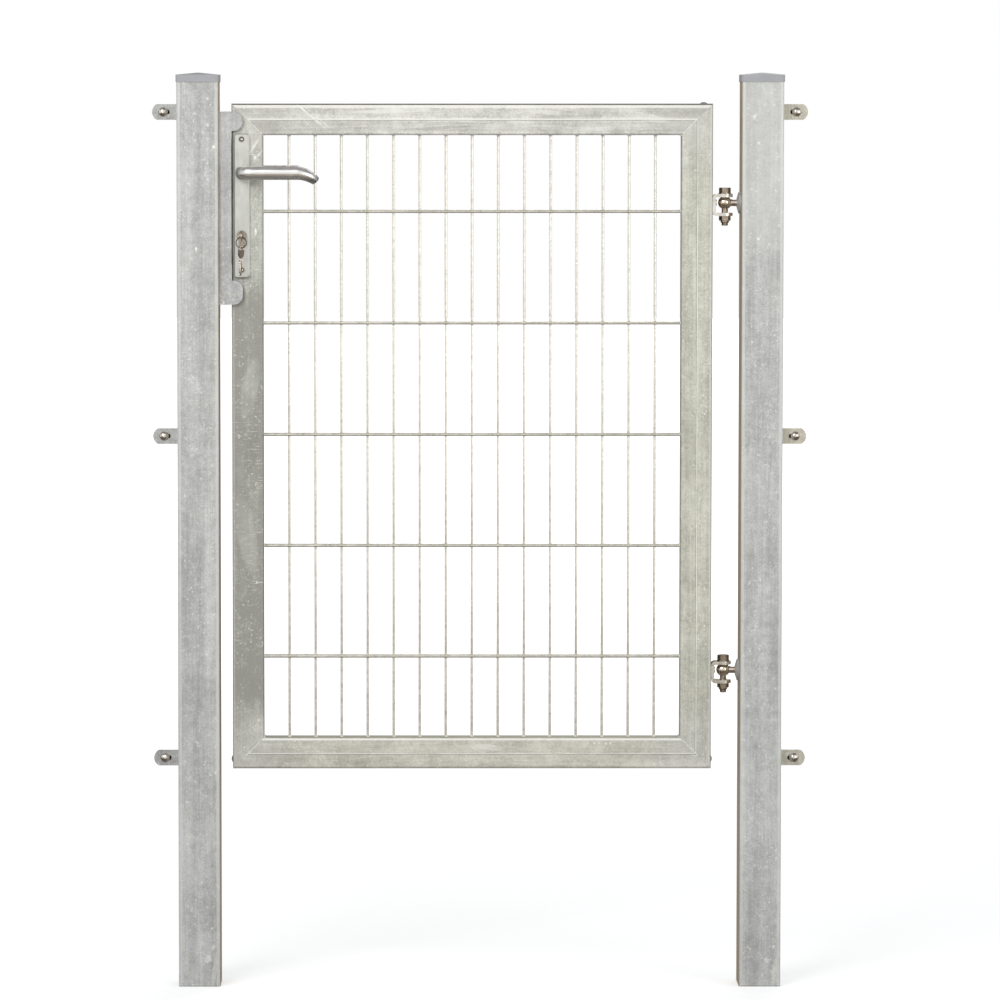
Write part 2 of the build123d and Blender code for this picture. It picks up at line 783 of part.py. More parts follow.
def escutcheon(side):
    """The long plate over the lock; side is -1 for the front and 1 for the back."""
    base = Plane(
        origin=(escutcheon_x, side * leaf_front, escutcheon_z), x_dir=(-side, 0, 0), z_dir=(0, side, 0)
    )
    with BuildPart() as plate:
        with BuildSketch(base):
            RectangleRounded(escutcheon_width, escutcheon_height, escutcheon_corner)
        extrude(amount=escutcheon_thickness)
        rim = plate.faces().filter_by(Axis.Y).sort_by(Axis.Y)[0 if side < 0 else -1]
        chamfer(rim.edges(), escutcheon_bevel)
        with BuildSketch(base):
            with Locations((0, spindle_z - escutcheon_z)):
                Circle(collar_r + collar_play)
            with Locations((0, cylinder_z - escutcheon_z)):
                cylinder_outline(cylinder_play)
            with Locations(*[(0, z - escutcheon_z) for z in plate_screw_heights]):
                Circle(plate_screw_r + plate_screw_play)
        extrude(amount=escutcheon_thickness, mode=Mode.SUBTRACT)
        with BuildSketch(base.offset(escutcheon_thickness)):
            with Locations(*[(0, z - escutcheon_z) for z in plate_screw_heights]):
                Circle(plate_screw_pocket_r)
        extrude(amount=-plate_screw_pocket, mode=Mode.SUBTRACT)
    return plate.part


front_escutcheon = escutcheon(-1)
back_escutcheon = escutcheon(1)

# Screws that clamp the two escutcheons through the stile, with a domed head at both ends
with BuildPart() as escutcheon_screws:
    screw_seat = escutcheon_face - plate_screw_pocket
    screw_end = screw_seat + plate_screw_head
    dome = (plate_screw_head_r**2 + plate_screw_head**2) / (2 * plate_screw_head)
    for z in plate_screw_heights:
        with BuildSketch(Plane(origin=(escutcheon_x, 0, z), z_dir=(0, 0, 1))):
            with BuildLine():
                RadiusArc((0, -screw_end), (plate_screw_head_r, -screw_seat), -dome)
                Polyline(
                    (plate_screw_head_r, -screw_seat),
                    (plate_screw_r, -screw_seat),
                    (plate_screw_r, screw_seat),
                    (plate_screw_head_r, screw_seat),
                )
                RadiusArc((plate_screw_head_r, screw_seat), (0, screw_end), -dome)
                Line((0, screw_end), (0, -screw_end))
            make_face()
        revolve(axis=Axis((escutcheon_x, 0, z), (0, 1, 0)))

# Profile cylinder: goes right through the leaf, with a bore for its turning plug
with BuildPart() as lock_cylinder:
    with BuildSketch(front_plane(escutcheon_x, 0, cylinder_z)):
        cylinder_outline(0)
    extrude(amount=cylinder_face, both=True)
    with BuildSketch(front_plane(escutcheon_x, -cylinder_face, cylinder_z)):
        Circle(plug_r + plug_play)
    extrude(amount=-plug_length - plug_play, mode=Mode.SUBTRACT)
    with BuildSketch(front_plane(escutcheon_x, cylinder_face, cylinder_z)):
        Rectangle(keyway_width, keyway_height)
    extrude(amount=back_keyway_depth, mode=Mode.SUBTRACT)

with BuildPart() as cylinder_plug:
    with BuildSketch(front_plane(escutcheon_x, -cylinder_face, cylinder_z)):
        Circle(plug_r)
    extrude(amount=-plug_length)
    with BuildSketch(front_plane(escutcheon_x, -cylinder_face, cylinder_z)):
        Rectangle(keyway_width, keyway_height)
    extrude(amount=-keyway_depth, mode=Mode.SUBTRACT)


def key_blank(base):
    """A key drawn from the centre of its bow; the blade runs along the sketch's -x."""
    with BuildPart() as blank:
        with BuildSketch(base):
            with Locations((-(key_bow_r + key_blade_length) / 2, 0)):
                Rectangle(key_bow_r + key_blade_length, key_blade)
            Circle(key_bow_r)
            with Locations((key_hole_from_centre, 0)):
                Circle(key_hole_r, mode=Mode.SUBTRACT)
        extrude(amount=key_thickness / 2, both=True)
    return blank.part


# The key stands upright in the plug, its bow towards the front
bow_y = -cylinder_face - key_blade_length + key_in_plug - key_bow_r
hole_y = bow_y - key_hole_from_centre
key = key_blank(Plane(origin=(escutcheon_x, bow_y, cylinder_z), x_dir=(0, -1, 0), z_dir=(1, 0, 0)))

# The ring hangs in the key's hole and faces the front, a little turned
ring_top_z = cylinder_z - key_hole_r + ring_wire_r + ring_play
ring_z = ring_top_z - ring_r
ring_face = Plane(
    origin=(escutcheon_x, hole_y, ring_z),
    x_dir=(cos(radians(ring_turn)), sin(radians(ring_turn)), 0),
    z_dir=(sin(radians(ring_turn)), -cos(radians(ring_turn)), 0),
)
with BuildPart() as key_ring:
    with Locations(ring_face):
        Torus(ring_r, ring_wire_r)

# The spare key hangs from the ring's lowest point, its edge almost to the front, leaning a little
spare_hole_z = ring_z - ring_r + ring_wire_r + ring_play - key_hole_r
lean = radians(spare_key_lean)
turn = radians(spare_key_turn)
spare_bow = (
    escutcheon_x - key_hole_from_centre * sin(lean) * cos(turn),
    hole_y - key_hole_from_centre * sin(lean) * sin(turn),
    spare_hole_z - key_hole_from_centre * cos(lean),
)
spare_up = (sin(lean) * cos(turn), sin(lean) * sin(turn), cos(lean))
spare_key = key_blank(Plane(origin=spare_bow, x_dir=spare_up, z_dir=(sin(turn), -cos(turn), 0)))

# Square spindle through the lock, and the levers on its ends
lever_root = leaf_front + collar_gap
spindle_half = escutcheon_face + spindle_in_lever
with BuildPart() as lever_spindle:
    with BuildSketch(front_plane(escutcheon_x, 0, spindle_z)):
        Rectangle(spindle_size, spindle_size)
    extrude(amount=spindle_half, both=True)

with BuildPart() as front_lever:
    grip_y = -escutcheon_face - lever_out + lever_deep / 2
    grip_end = (escutcheon_x + lever_straight, grip_y, spindle_z)
    with BuildLine() as grip_path:
        FilletPolyline(
            (escutcheon_x, -escutcheon_face, spindle_z),
            (escutcheon_x, grip_y, spindle_z),
            grip_end,
            radius=lever_bend_r,
        )
    with BuildSketch(Plane(origin=grip_path.line @ 0, x_dir=(0, 0, 1), z_dir=grip_path.line % 0)):
        Ellipse(lever_high / 2, lever_deep / 2)
    sweep()
    # the tail droops, turns in towards the leaf and gets thinner
    tail_end = Vector(escutcheon_x + lever_reach, grip_y + lever_return, spindle_z - lever_droop)
    bend_out = Vector(grip_end) + Vector(lever_tail_bend, 0, 0)
    bend_in = tail_end - (tail_end - bend_out).normalized() * lever_tail_bend
    with BuildLine() as tail_path:
        Bezier(grip_end, bend_out, bend_in, tail_end)
    tail_sections = (
        (0, lever_high, lever_deep),
        (0.5, (2 * lever_high + lever_end_high) / 3, (2 * lever_deep + lever_end_deep) / 3),
        (1, lever_end_high, lever_end_deep),
    )
    for place, high, deep in tail_sections:
        centre = tail_path.line @ place
        along = tail_path.line % place
        with BuildSketch(Plane(origin=centre, x_dir=along.cross(Vector(0, -1, 0)), z_dir=along)):
            Ellipse(high / 2, deep / 2)
    loft()
    tip = front_lever.faces().filter_by(GeomType.PLANE).sort_by(Axis.X)[-1]
    fillet(tip.edges(), lever_end_r)
    with BuildSketch(front_plane(escutcheon_x, -lever_root, spindle_z)):
        Circle(collar_r)
    extrude(amount=escutcheon_face - lever_root)
    with BuildSketch(front_plane(escutcheon_x, -lever_root, spindle_z)):
        Rectangle(spindle_size + 2 * spindle_play, spindle_size + 2 * spindle_play)
    extrude(amount=spindle_half + spindle_play - lever_root, mode=Mode.SUBTRACT)

with BuildPart() as back_lever:
    mirror(front_lever.part, about=Plane.XZ)

# Every piece is written under its own name
pieces = {
    "lock_post": lock_post.part,
    "hinge_post": hinge_post.part,
    "lock_post_cap": lock_post_cap,
    "hinge_post_cap": hinge_post_cap,
    "strike_plate": strike_plate.part,
    **post_lugs,
    "lock_stile": lock_stile.part,
    "hinge_stile": hinge_stile.part,
    "top_rail": top_rail.part,
    "bottom_rail": bottom_rail.part,
    "mesh_panel": mesh_panel.part,
    "vent_plugs": vent_plugs.part,
    **hinge_parts,
    "fork_screws": fork_screws.part,
    "lock_case": lock_case.part,
    "latch_bolt": latch_bolt.part,
    "dead_bolt": dead_bolt.part,
    "front_escutcheon": front_escutcheon,
    "back_escutcheon": back_escutcheon,
    "escutcheon_screws": escutcheon_screws.part,
    "lock_cylinder": lock_cylinder.part,
    "cylinder_plug": cylinder_plug.part,
    "key": key,
    "key_ring": key_ring.part,
    "spare_key": spare_key,
    "lever_spindle": lever_spindle.part,
    "front_lever": front_lever.part,
    "back_lever": back_lever.part,
}
os.makedirs("parts", exist_ok=True)
for name, piece in pieces.items():
    piece.label = name
    export_step(piece, f"parts/{name}.step")
print(len(pieces), "pieces")
print("clear width between posts", -post_side - lock_post_side)
print("mesh", upright_count, "uprights", rung_count, "pairs of rungs")
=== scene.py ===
# %% [markdown]
# # A mesh garden gate
# This gate has a frame of galvanised tube, a welded mesh panel, two ball hinges,
# a lock with lever handles, and two square posts. The solid model comes with its
# sizes fixed. The lesson adds what only a close look shows: round wires with their
# weld beads, drops of zinc, screw heads, cut keys and the finish of each metal.
#
# Everything is in metres. The front is -Y, up is +Z, and z = 0 is the posts' foot.

import random
from math import cos, pi, radians, sin, tau

import bpy
from mathutils import Matrix, Vector


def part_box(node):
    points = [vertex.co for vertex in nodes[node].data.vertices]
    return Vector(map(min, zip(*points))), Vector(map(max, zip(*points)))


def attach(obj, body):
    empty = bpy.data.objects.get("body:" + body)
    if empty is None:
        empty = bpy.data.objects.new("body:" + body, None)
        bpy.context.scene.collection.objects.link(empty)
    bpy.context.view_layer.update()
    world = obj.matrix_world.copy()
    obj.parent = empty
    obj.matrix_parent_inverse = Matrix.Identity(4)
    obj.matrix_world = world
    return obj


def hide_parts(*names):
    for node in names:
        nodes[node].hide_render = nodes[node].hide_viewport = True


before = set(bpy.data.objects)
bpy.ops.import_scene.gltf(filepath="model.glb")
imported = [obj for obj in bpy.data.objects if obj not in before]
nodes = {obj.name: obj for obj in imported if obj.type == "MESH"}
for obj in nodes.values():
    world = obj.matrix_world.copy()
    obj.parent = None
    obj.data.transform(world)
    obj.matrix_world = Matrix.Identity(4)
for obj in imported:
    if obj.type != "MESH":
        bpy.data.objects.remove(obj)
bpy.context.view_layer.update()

# %% Places that later steps share
leaf_left, leaf_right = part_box("bottom_rail")[0].x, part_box("bottom_rail")[1].x
leaf_bottom, leaf_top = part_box("bottom_rail")[0].z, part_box("top_rail")[1].z
leaf_front, leaf_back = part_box("bottom_rail")[0].y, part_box("bottom_rail")[1].y
rail_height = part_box("bottom_rail")[1].z - leaf_bottom
post_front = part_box("hinge_post")[0].y
mesh_low, mesh_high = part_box("mesh_panel")
plate_low, plate_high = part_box("front_escutcheon")
plate_x = (plate_low.x + plate_high.x) / 2
print("leaf", round(leaf_right - leaf_left, 3), "x", round(leaf_top - leaf_bottom, 3))

# %% [markdown]
# ## The camera
# The gate was seen from far away, from the height of its top rail, so the top of the
# bottom rail shows as a thin sliver and the far lever hides behind the near one. A long
# lens keeps the posts nearly upright while the camera tips down by a few degrees, and a
# small lens shift places the gate in the frame.

# %% The camera
eye = (-0.6666, -9.5, 1.69)
tip_down, turn_right = 3.621, 0.096
lens = bpy.data.cameras.new("gate_camera")
lens.lens = 178.82
lens.shift_x, lens.shift_y = 0.079, -0.08
camera = bpy.data.objects.new("gate_camera", lens)
bpy.context.scene.collection.objects.link(camera)
camera.location = eye
camera.rotation_euler = (radians(90 - tip_down), 0, radians(-turn_right))
bpy.context.scene.camera = camera
bpy.context.scene.view_settings.view_transform = "Standard"
print("camera", round(camera.location.length, 2), "m away")

# %% [markdown]
# ## Shader sums in Python
# A pattern such as weathered zinc is a sum of noises. Wiring each Math node by hand
# is slow to write and slower to read. A small class wraps one output socket, and its
# Python operators add the Math nodes. One method adds any other kind of node.

# %% A socket that can be added and multiplied


class Wire:
    """One output socket of a node. Sums on it add Math nodes to the same tree."""

    def __init__(self, output):
        self.output = output
        self.tree = output.id_data

    def node(self, kind, settings=None, sockets=None, result=0):
        """Adds a node: its settings first, then its sockets' values or wires."""
        made = self.tree.nodes.new("ShaderNode" + kind)
        for name, value in (settings or {}).items():
            setattr(made, name, value)
        for key, value in (sockets or {}).items():
            if isinstance(value, Wire):
                self.tree.links.new(value.output, made.inputs[key])
            else:
                made.inputs[key].default_value = value
        return Wire(made.outputs[result])

    def also(self, result):
        """Another output of the same node."""
        return Wire(self.output.node.outputs[result])

    def maths(self, operation, *values):
        return self.node("Math", {"operation": operation}, dict(enumerate(values)))

    def __add__(self, other):
        return self.maths("ADD", self, other)

    def __sub__(self, other):
        return self.maths("SUBTRACT", self, other)

    def __rsub__(self, other):
        return self.maths("SUBTRACT", other, self)

    def __mul__(self, other):
        return self.maths("MULTIPLY", self, other)

    def __truediv__(self, other):
        return self.maths("DIVIDE", self, other)

    def __abs__(self):
        return self.maths("ABSOLUTE", self)

    __radd__ = __add__
    __rmul__ = __mul__

    def least(self, other):
        return self.maths("MINIMUM", self, other)

    def most(self, other):
        return self.maths("MAXIMUM", self, other)

    def rise(self, low, high):
        """0 below low, 1 above high and smooth between; low may be above high."""
        return self.node(
            "MapRange",
            {"interpolation_type": "SMOOTHSTEP"},
            {"Value": self, "From Min": low, "From Max": high},
        )

    def tint(self, under, over):
        """Mixes two colours: under where this wire is 0, over where it is 1."""
        return self.node("Mix", {"data_type": "RGBA"}, {0: self, 6: under, 7: over}, 2)

    def stretch(self, x, y, z, turn=(0, 0, 0)):
        """A place scaled along X, Y and Z after a turn in radians."""
        sockets = {"Vector": self, "Rotation": turn, "Scale": (x, y, z)}
        return self.node("Mapping", {"vector_type": "POINT"}, sockets)

    def noise(self, scale, detail=3, rough=0.5):
        sockets = {"Vector": self, "Scale": scale, "Detail": detail, "Roughness": rough}
        return self.node("TexNoise", None, sockets)

    def dots(self, scale):
        """Distance to the nearest of many scattered points."""
        return self.node("TexVoronoi", None, {"Vector": self, "Scale": scale, "Randomness": 1.0})

    def dot_choice(self, channel):
        """A random number for each of the scattered points, from one channel of their colour."""
        return self.node("SeparateColor", None, {0: self.also("Color")}, channel)


# %% Starting and ending a material


def shade(red, green, blue):
    """A colour read off a screen, 0 to 255, as the linear colour that shaders use."""
    def linear(c):
        c = c / 255
        return c / 12.92 if c <= 0.04045 else ((c + 0.055) / 1.055) ** 2.4
    return (linear(red), linear(green), linear(blue), 1.0)


def blank(name, metallic, roughness):
    """A new material with one shader. Returns it with the shader and a wire of the place."""
    material = bpy.data.materials.new(name)
    material.use_nodes = True
    shader = material.node_tree.nodes["Principled BSDF"]
    shader.inputs["Metallic"].default_value = metallic
    shader.inputs["Roughness"].default_value = roughness
    coordinates = material.node_tree.nodes.new("ShaderNodeTexCoord")
    return material, shader, Wire(coordinates.outputs["Object"])


def connect(wire, shader, socket):
    wire.tree.links.new(wire.output, shader.inputs[socket])


def raise_by(height, shader, distance):
    """Feeds a height wire to the shader's normal; distance is in metres."""
    bump = height.node("Bump", None, {"Height": height, "Strength": 1.0, "Distance": distance})
    connect(bump, shader, "Normal")


# %% [markdown]
# ## Hot-dip galvanised steel
# Zinc from a bath freezes in soft grey clouds with a finer mottling of pale flecks and
# dark specks over them. The tube under it was drawn, so faint streaks run along its
# length. Pale bands along rounded edges are a painted highlight. Every pattern is a sum
# of noises on Object coordinates, so that its scale is real, in metres. Marks at one
# place, such as a blotch or a patch of dross, are soft ellipses on the front face, and
# bands follow an edge. Dark bands along the edges are painted shade, and those on the
# rails' tops a painted reflection of the dark ground. The row of short scars near each
# post's foot is one pattern of slanted lines, which takes far fewer nodes than a mask
# for each scar.

# %% Masks for one place
# The dark grey paints shade along edges, and some darker marks and bands.
white, silver, dark_grey = shade(238, 238, 233), shade(216, 217, 212), shade(118, 117, 112)
mark_depth = 0.006


def axis_of(place, letter):
    """One coordinate of a place as its own wire."""
    return place.node("SeparateXYZ", None, {0: place}, "XYZ".index(letter))


def spot(place, x, z, wide, high, tilt, front):
    """1 inside a soft ellipse on the front face; wide and high are half its size."""
    sockets = {
        "Vector": place, "Location": (x, front, z),
        "Rotation": (0, radians(tilt), 0), "Scale": (wide, mark_depth, high),
    }
    near = place.node("Mapping", {"vector_type": "TEXTURE"}, sockets)
    return near.node("VectorMath", {"operation": "LENGTH"}, {0: near}, "Value").rise(1.15, 0.75)


def band(place, letter, at, width, ragged=0.0004):
    """1 within width of a plane across one axis, with a slightly uneven border."""
    off = abs(axis_of(place, letter) - at)
    return (off + (place.noise(60, 2) - 0.5) * ragged).rise(width, width * 0.6)


def slanted_lines(place, x, z):
    """1 on short slanted lines, one above another, inside a tall spot of the post's front."""
    pitch, slope = 0.0031, 0.55
    count = (axis_of(place, "Z") - axis_of(place, "X") * slope) / pitch
    stripe = abs(count.maths("FRACT", count) - 0.5).rise(0.24, 0.14)
    return stripe * spot(place, x, z, 0.0046, 0.0300, 8, post_front)


def along_axis(axis, along, across):
    """Three scales of a noise, one along an axis and another across it."""
    return [along if letter == axis else across for letter in "xyz"]


# %% A function for weathered zinc


def zinc(
    name, pale, dark, along="z", seam=None, marks=(), bands=(),
    scratched=0.0, corners=False, tone_bands=None, strokes=(),
):
    """Galvanised tube; streaks run along one axis, and marks and bands tint chosen places."""
    material, shader, place = blank(name, metallic=0.4, roughness=0.5)
    streaks = place.stretch(*along_axis(along, 9, 330)).noise(1, 3, 0.6)
    sweeps = place.stretch(*along_axis(along, 2.5, 38)).noise(1, 3, 0.5)
    clouds = place.noise(16, 4, 0.6)
    blotches = place.noise(75, 4, 0.62)
    grain = place.noise(330, 3, 0.65)
    tone = (clouds - 0.5) * 1.05 + (sweeps - 0.5) * 1.1 + (blotches - 0.5) * 1.05
    tone = tone + (streaks - 0.5) * 0.8 + (grain - 0.5) * 1.3 + 0.5
    if tone_bands:
        centre, reach, depth = tone_bands
        fade = 0.12
        tone = tone - abs(axis_of(place, along.upper()) - centre).rise(reach, reach - fade) * depth
    if corners:
        out_x = abs(axis_of(place, "X") - (leaf_left + leaf_right) / 2)
        out_z = abs(axis_of(place, "Z") - (leaf_bottom + leaf_top) / 2)
        half_x, half_z = (leaf_right - leaf_left) / 2, (leaf_top - leaf_bottom) / 2
        far, near = 0.16, 0.05
        corner = out_x.rise(half_x - far, half_x - near) * out_z.rise(half_z - far, half_z - near)
        pale = (corner * 0.75).tint(pale, shade(216, 215, 208))
        dark = (corner * 0.75).tint(dark, shade(176, 175, 167))
    colour = tone.rise(-0.3, 1.3).tint(dark, pale)

    flecks = place.noise(190, 3, 0.6).rise(0.58, 0.7) * place.noise(28, 2).rise(0.4, 0.58)
    colour = (flecks * 0.6).tint(colour, shade(238, 238, 232))
    specks = place.dots(95)
    pits = (specks + (1 - specks.dot_choice(1)) * 0.35).rise(0.14, 0.08)
    colour = (pits * 0.6).tint(colour, shade(122, 122, 118))
    stain = place.noise(19, 3, 0.6).rise(0.62, 0.78)
    colour = (stain * 0.16).tint(colour, shade(198, 186, 164))
    height = streaks * 0.3 + blotches * 0.6 + grain * 0.35 + flecks * 0.5 - pits * 0.8

    if scratched:
        slant = place.stretch(40, 40, 560, turn=(0, radians(42), 0)).noise(1, 2, 0.5)
        cross = place.stretch(50, 50, 700, turn=(0, radians(-58), 0)).noise(1, 1, 0.5)
        patch = place.noise(9, 2, 0.5).rise(0.46, 0.6)
        lines = (slant.rise(0.62, 0.7) + cross.rise(0.67, 0.73)).least(1) * patch * scratched
        colour = lines.tint(colour, shade(238, 237, 231))
        height = height - lines * 0.6
    if seam:
        axis, at = seam
        waver = (place.stretch(30, 30, 30).noise(1, 2) - 0.5) * 0.0006
        line = (abs(axis_of(place, axis) - at) - waver).rise(0.0012, 0.0004)
        shadow = abs(axis_of(place, axis) - (at - 0.0014)).rise(0.001, 0.0003)
        kept = place.noise(9, 3, 0.6).rise(0.28, 0.48)
        colour = (shadow * kept * 0.55).tint(colour, shade(136, 134, 124))
        colour = (line * kept * 0.85).tint(colour, shade(250, 249, 244))
        height = height + line * 2
    for letter, at, width, tinted, strength in bands:
        colour = (band(place, letter, at, width) * strength).tint(colour, tinted)
    face = post_front if "post" in name else leaf_front
    for x, z, wide, high, tilt, tinted, strength in marks:
        edge = spot(place, x, z, wide, high, tilt, face)
        uneven = place.noise(0.6 / max(wide, high), 3, 0.6).rise(0.3, 0.52)
        colour = (edge * uneven * strength).tint(colour, tinted)
        height = height + edge * uneven * 0.6
    for x, z in strokes:
        colour = (slanted_lines(place, x, z) * 0.8).tint(colour, white)
    connect(colour, shader, "Base Color")
    connect(0.44 + blotches * 0.16 + clouds * 0.08 - flecks * 0.1, shader, "Roughness")
    raise_by(height, shader, 0.0003)
    return material


# %% The posts and their plates
# A mark is x, z, half its width, half its height, its tilt, its colour and its strength
post_marks = [
    (-1.0445, 1.6106, 0.0030, 0.0040, 0, white, 0.9),
    (-1.0560, 1.6528, 0.0030, 0.0030, 0, white, 0.7),
    (-1.0789, 1.4168, 0.0022, 0.0050, 0, white, 0.8),
    (-0.0084, 1.6183, 0.0030, 0.0036, 0, white, 0.8),
    (-0.0084, 1.4360, 0.0030, 0.0042, 0, white, 0.9),
    (0.0241, 1.5280, 0.0026, 0.0030, 0, white, 0.7),
    (0.0300, 1.4610, 0.0026, 0.0040, 0, white, 0.7),
    (-0.0160, 1.6687, 0.0036, 0.0070, 20, white, 0.6),
]
for x in (-1.0515, 0.0245):
    post_marks.append((x - 0.0085, 0.0530, 0.0070, 0.0080, 30, white, 0.5))
    post_marks.append((x + 0.0015, 0.0760, 0.0030, 0.0050, 20, white, 0.5))
post_marks.append((0.0, 1.6200, 0.0800, 0.2200, 0, silver, 0.4))

# A band is its axis, its place on it, half its width, its colour and its strength
left_post, right_post, rounding = (-1.116, -1.036), (-0.040, 0.040), 0.003
post_bands = []
# Pale bands along each post's rounded edges are a painted highlight.
for low, high in (left_post, right_post):
    post_bands += [("X", x, 0.0050, silver, 0.55) for x in (low + rounding, high - rounding)]
# The posts' side faces towards the gate get a painted tan shade.
post_bands += [("X", x, 0.0012, shade(176, 156, 130), 0.85) for x in (left_post[1], right_post[0])]
post_bands.append(("Z", 0.001, 0.0020, dark_grey, 0.4))
zinc_post = zinc(
    "zinc_post", shade(214, 215, 212), shade(156, 157, 154),
    marks=post_marks, bands=post_bands, strokes=[(-1.0480, 0.0270), (0.0280, 0.0270)],
)
zinc_left_lug = zinc("zinc_left_lug", shade(206, 206, 204), shade(140, 140, 139))
zinc_right_lug = zinc("zinc_right_lug", shade(216, 212, 197), shade(168, 164, 149))
zinc_plate = zinc("zinc_plate", shade(204, 205, 203), shade(150, 151, 149))
print("zinc for posts and plates")

# %% The frame's four tubes
# Painted reflections of the dark ground: brown along the top rail's top edge, grey-green on the
# bottom rail's top face.
top_edge_reflection, top_face_reflection = shade(120, 110, 96), shade(150, 150, 132)
zinc_top_rail = zinc(
    "zinc_top_rail", shade(246, 245, 238), shade(172, 171, 162),
    along="x", seam=("Z", leaf_top - 0.0310), scratched=0.8, corners=True,
    marks=[
        (-0.858, 1.6680, 0.0022, 0.038, -50, white, 0.9),
        (-0.850, 1.6690, 0.0012, 0.032, -50, white, 0.8),
        (-0.872, 1.6600, 0.0012, 0.024, -50, white, 0.6),
        (-0.40, 1.676, 0.05, 0.004, 4, white, 0.5),
        (-0.62, 1.648, 0.07, 0.003, -3, dark_grey, 0.25),
        (-0.70, 1.680, 0.07, 0.005, -2, white, 0.55),
        (-0.22, 1.668, 0.04, 0.008, 12, white, 0.45),
        (-0.52, 1.660, 0.09, 0.004, 2, white, 0.4),
        (-0.30, 1.646, 0.06, 0.004, -4, white, 0.45),
    ],
    # A painted highlight just under the top edge, a painted reflection along the top edge, painted
    # shade along the bottom edge, the seam's white line and two darker bands across the face.
    bands=[
        ("Z", leaf_top - 0.0052, 0.0040, white, 0.75), ("Z", leaf_top - 0.0180, 0.0110, dark_grey, 0.16),
        ("Z", leaf_top - 0.0440, 0.0130, dark_grey, 0.26), ("Z", leaf_top - 0.0300, 0.0016, white, 0.9),
        ("Z", leaf_top, 0.0036, top_edge_reflection, 0.95), ("Z", leaf_top - rail_height, 0.0014, dark_grey, 0.4),
    ],
)
zinc_bottom_rail = zinc(
    "zinc_bottom_rail", shade(224, 222, 209), shade(170, 168, 155),
    along="x", seam=("Z", leaf_bottom + 0.029), scratched=0.55, corners=True,
    marks=[
        *[(x, 0.4675, 0.0022, 0.0022, 0, white, 0.9)
          for x in (-0.330, -0.318, -0.309, -0.296, -0.287)],
        (-0.52, 0.460, 0.03, 0.006, 8, white, 0.45),
        (-0.75, 0.436, 0.05, 0.006, -6, dark_grey, 0.2),
    ],
    # A painted reflection on the bottom rail's top face, and a painted highlight on its rounded top
    # edge.
    bands=[
        ("Z", leaf_bottom + rail_height, 0.0010, top_face_reflection, 0.8),
        ("Z", leaf_bottom + rail_height - 0.0035, 0.0026, white, 0.65),
    ],
)
zinc_hinge_stile = zinc(
    "zinc_hinge_stile", shade(220, 220, 207), shade(160, 160, 147),
    seam=("X", leaf_right - 0.029), scratched=0.3, corners=True,
    # A painted highlight on the outer rounded edge, and painted shade along the outer and inner
    # edges.
    bands=[
        ("X", leaf_right - 0.0028, 0.0026, silver, 0.5), ("X", leaf_right, 0.0008, dark_grey, 0.5),
        ("X", leaf_right - rail_height, 0.0010, dark_grey, 0.4),
    ],
)
zinc_lock_stile = zinc(
    "zinc_lock_stile", shade(216, 217, 207), shade(154, 154, 146),
    scratched=0.6, corners=True, tone_bands=(0.93, 0.47, 0.7),
    marks=[
        (-0.9660, 1.4492, 0.0028, 0.0075, 0, white, 1.0),
        (-0.9668, 1.5903, 0.0026, 0.0045, 0, white, 0.9),
        (-0.9700, 1.6100, 0.0012, 0.0200, 35, white, 0.8),
        (-0.9600, 1.5960, 0.0012, 0.0180, 35, white, 0.7),
        (-0.9650, 1.6220, 0.0010, 0.0160, 35, white, 0.7),
        (-1.0060, 1.6420, 0.0016, 0.0060, 50, dark_grey, 0.9),
        # A painted shadow just below the escutcheon.
        (-0.9960, 1.3300, 0.0100, 0.0160, 0, dark_grey, 0.25),
        (-0.9780, 1.1500, 0.0160, 0.0600, 12, silver, 0.3),
        (-0.9850, 0.8700, 0.0180, 0.0800, -10, silver, 0.25),
        (-0.9750, 1.0300, 0.0120, 0.0500, 8, dark_grey, 0.2),
    ],
    # A painted highlight on the outer rounded edge, and painted shade along the inner edge.
    bands=[
        ("X", leaf_left + 0.0028, 0.0024, silver, 0.45),
        ("X", leaf_left + rail_height, 0.0010, dark_grey, 0.4),
    ],
)
print("zinc for the frame")

# %% [markdown]
# ## Wire, plated steel, aluminium, plastic and brass
# The mesh wire is drawn finely, so its zinc is smoother and warmer. Hinge bolts and
# screws are zinc plated and polished, and they mirror their surroundings. The lever
# and its plate are satin aluminium, brushed along their length. The caps are moulded
# grey plastic with a fine grain.

# %% The other finishes


def wire_zinc():
    material, shader, place = blank("wire_zinc", metallic=0.75, roughness=0.3)
    clouds = place.noise(60, 4, 0.6)
    lumps = place.noise(260, 3, 0.6)
    tone = (clouds * 0.6 + lumps * 0.6).rise(0.35, 0.85)
    colour = tone.tint(shade(196, 193, 180), shade(236, 233, 222))
    bright = place.noise(150, 3).rise(0.56, 0.7)
    colour = (bright * 0.6).tint(colour, shade(240, 238, 230))
    connect(colour, shader, "Base Color")
    connect(0.2 + clouds * 0.22, shader, "Roughness")
    raise_by(clouds * 0.5 + lumps * 0.7, shader, 0.0002)
    return material


def weld_zinc(name, pale, dark):
    material, shader, place = blank(name, metallic=0.35, roughness=0.36)
    lumps = place.noise(600, 3, 0.6)
    colour = lumps.rise(0.35, 0.65).tint(dark, pale)
    connect(colour, shader, "Base Color")
    connect(0.26 + lumps * 0.3, shader, "Roughness")
    raise_by(lumps, shader, 0.0003)
    return material


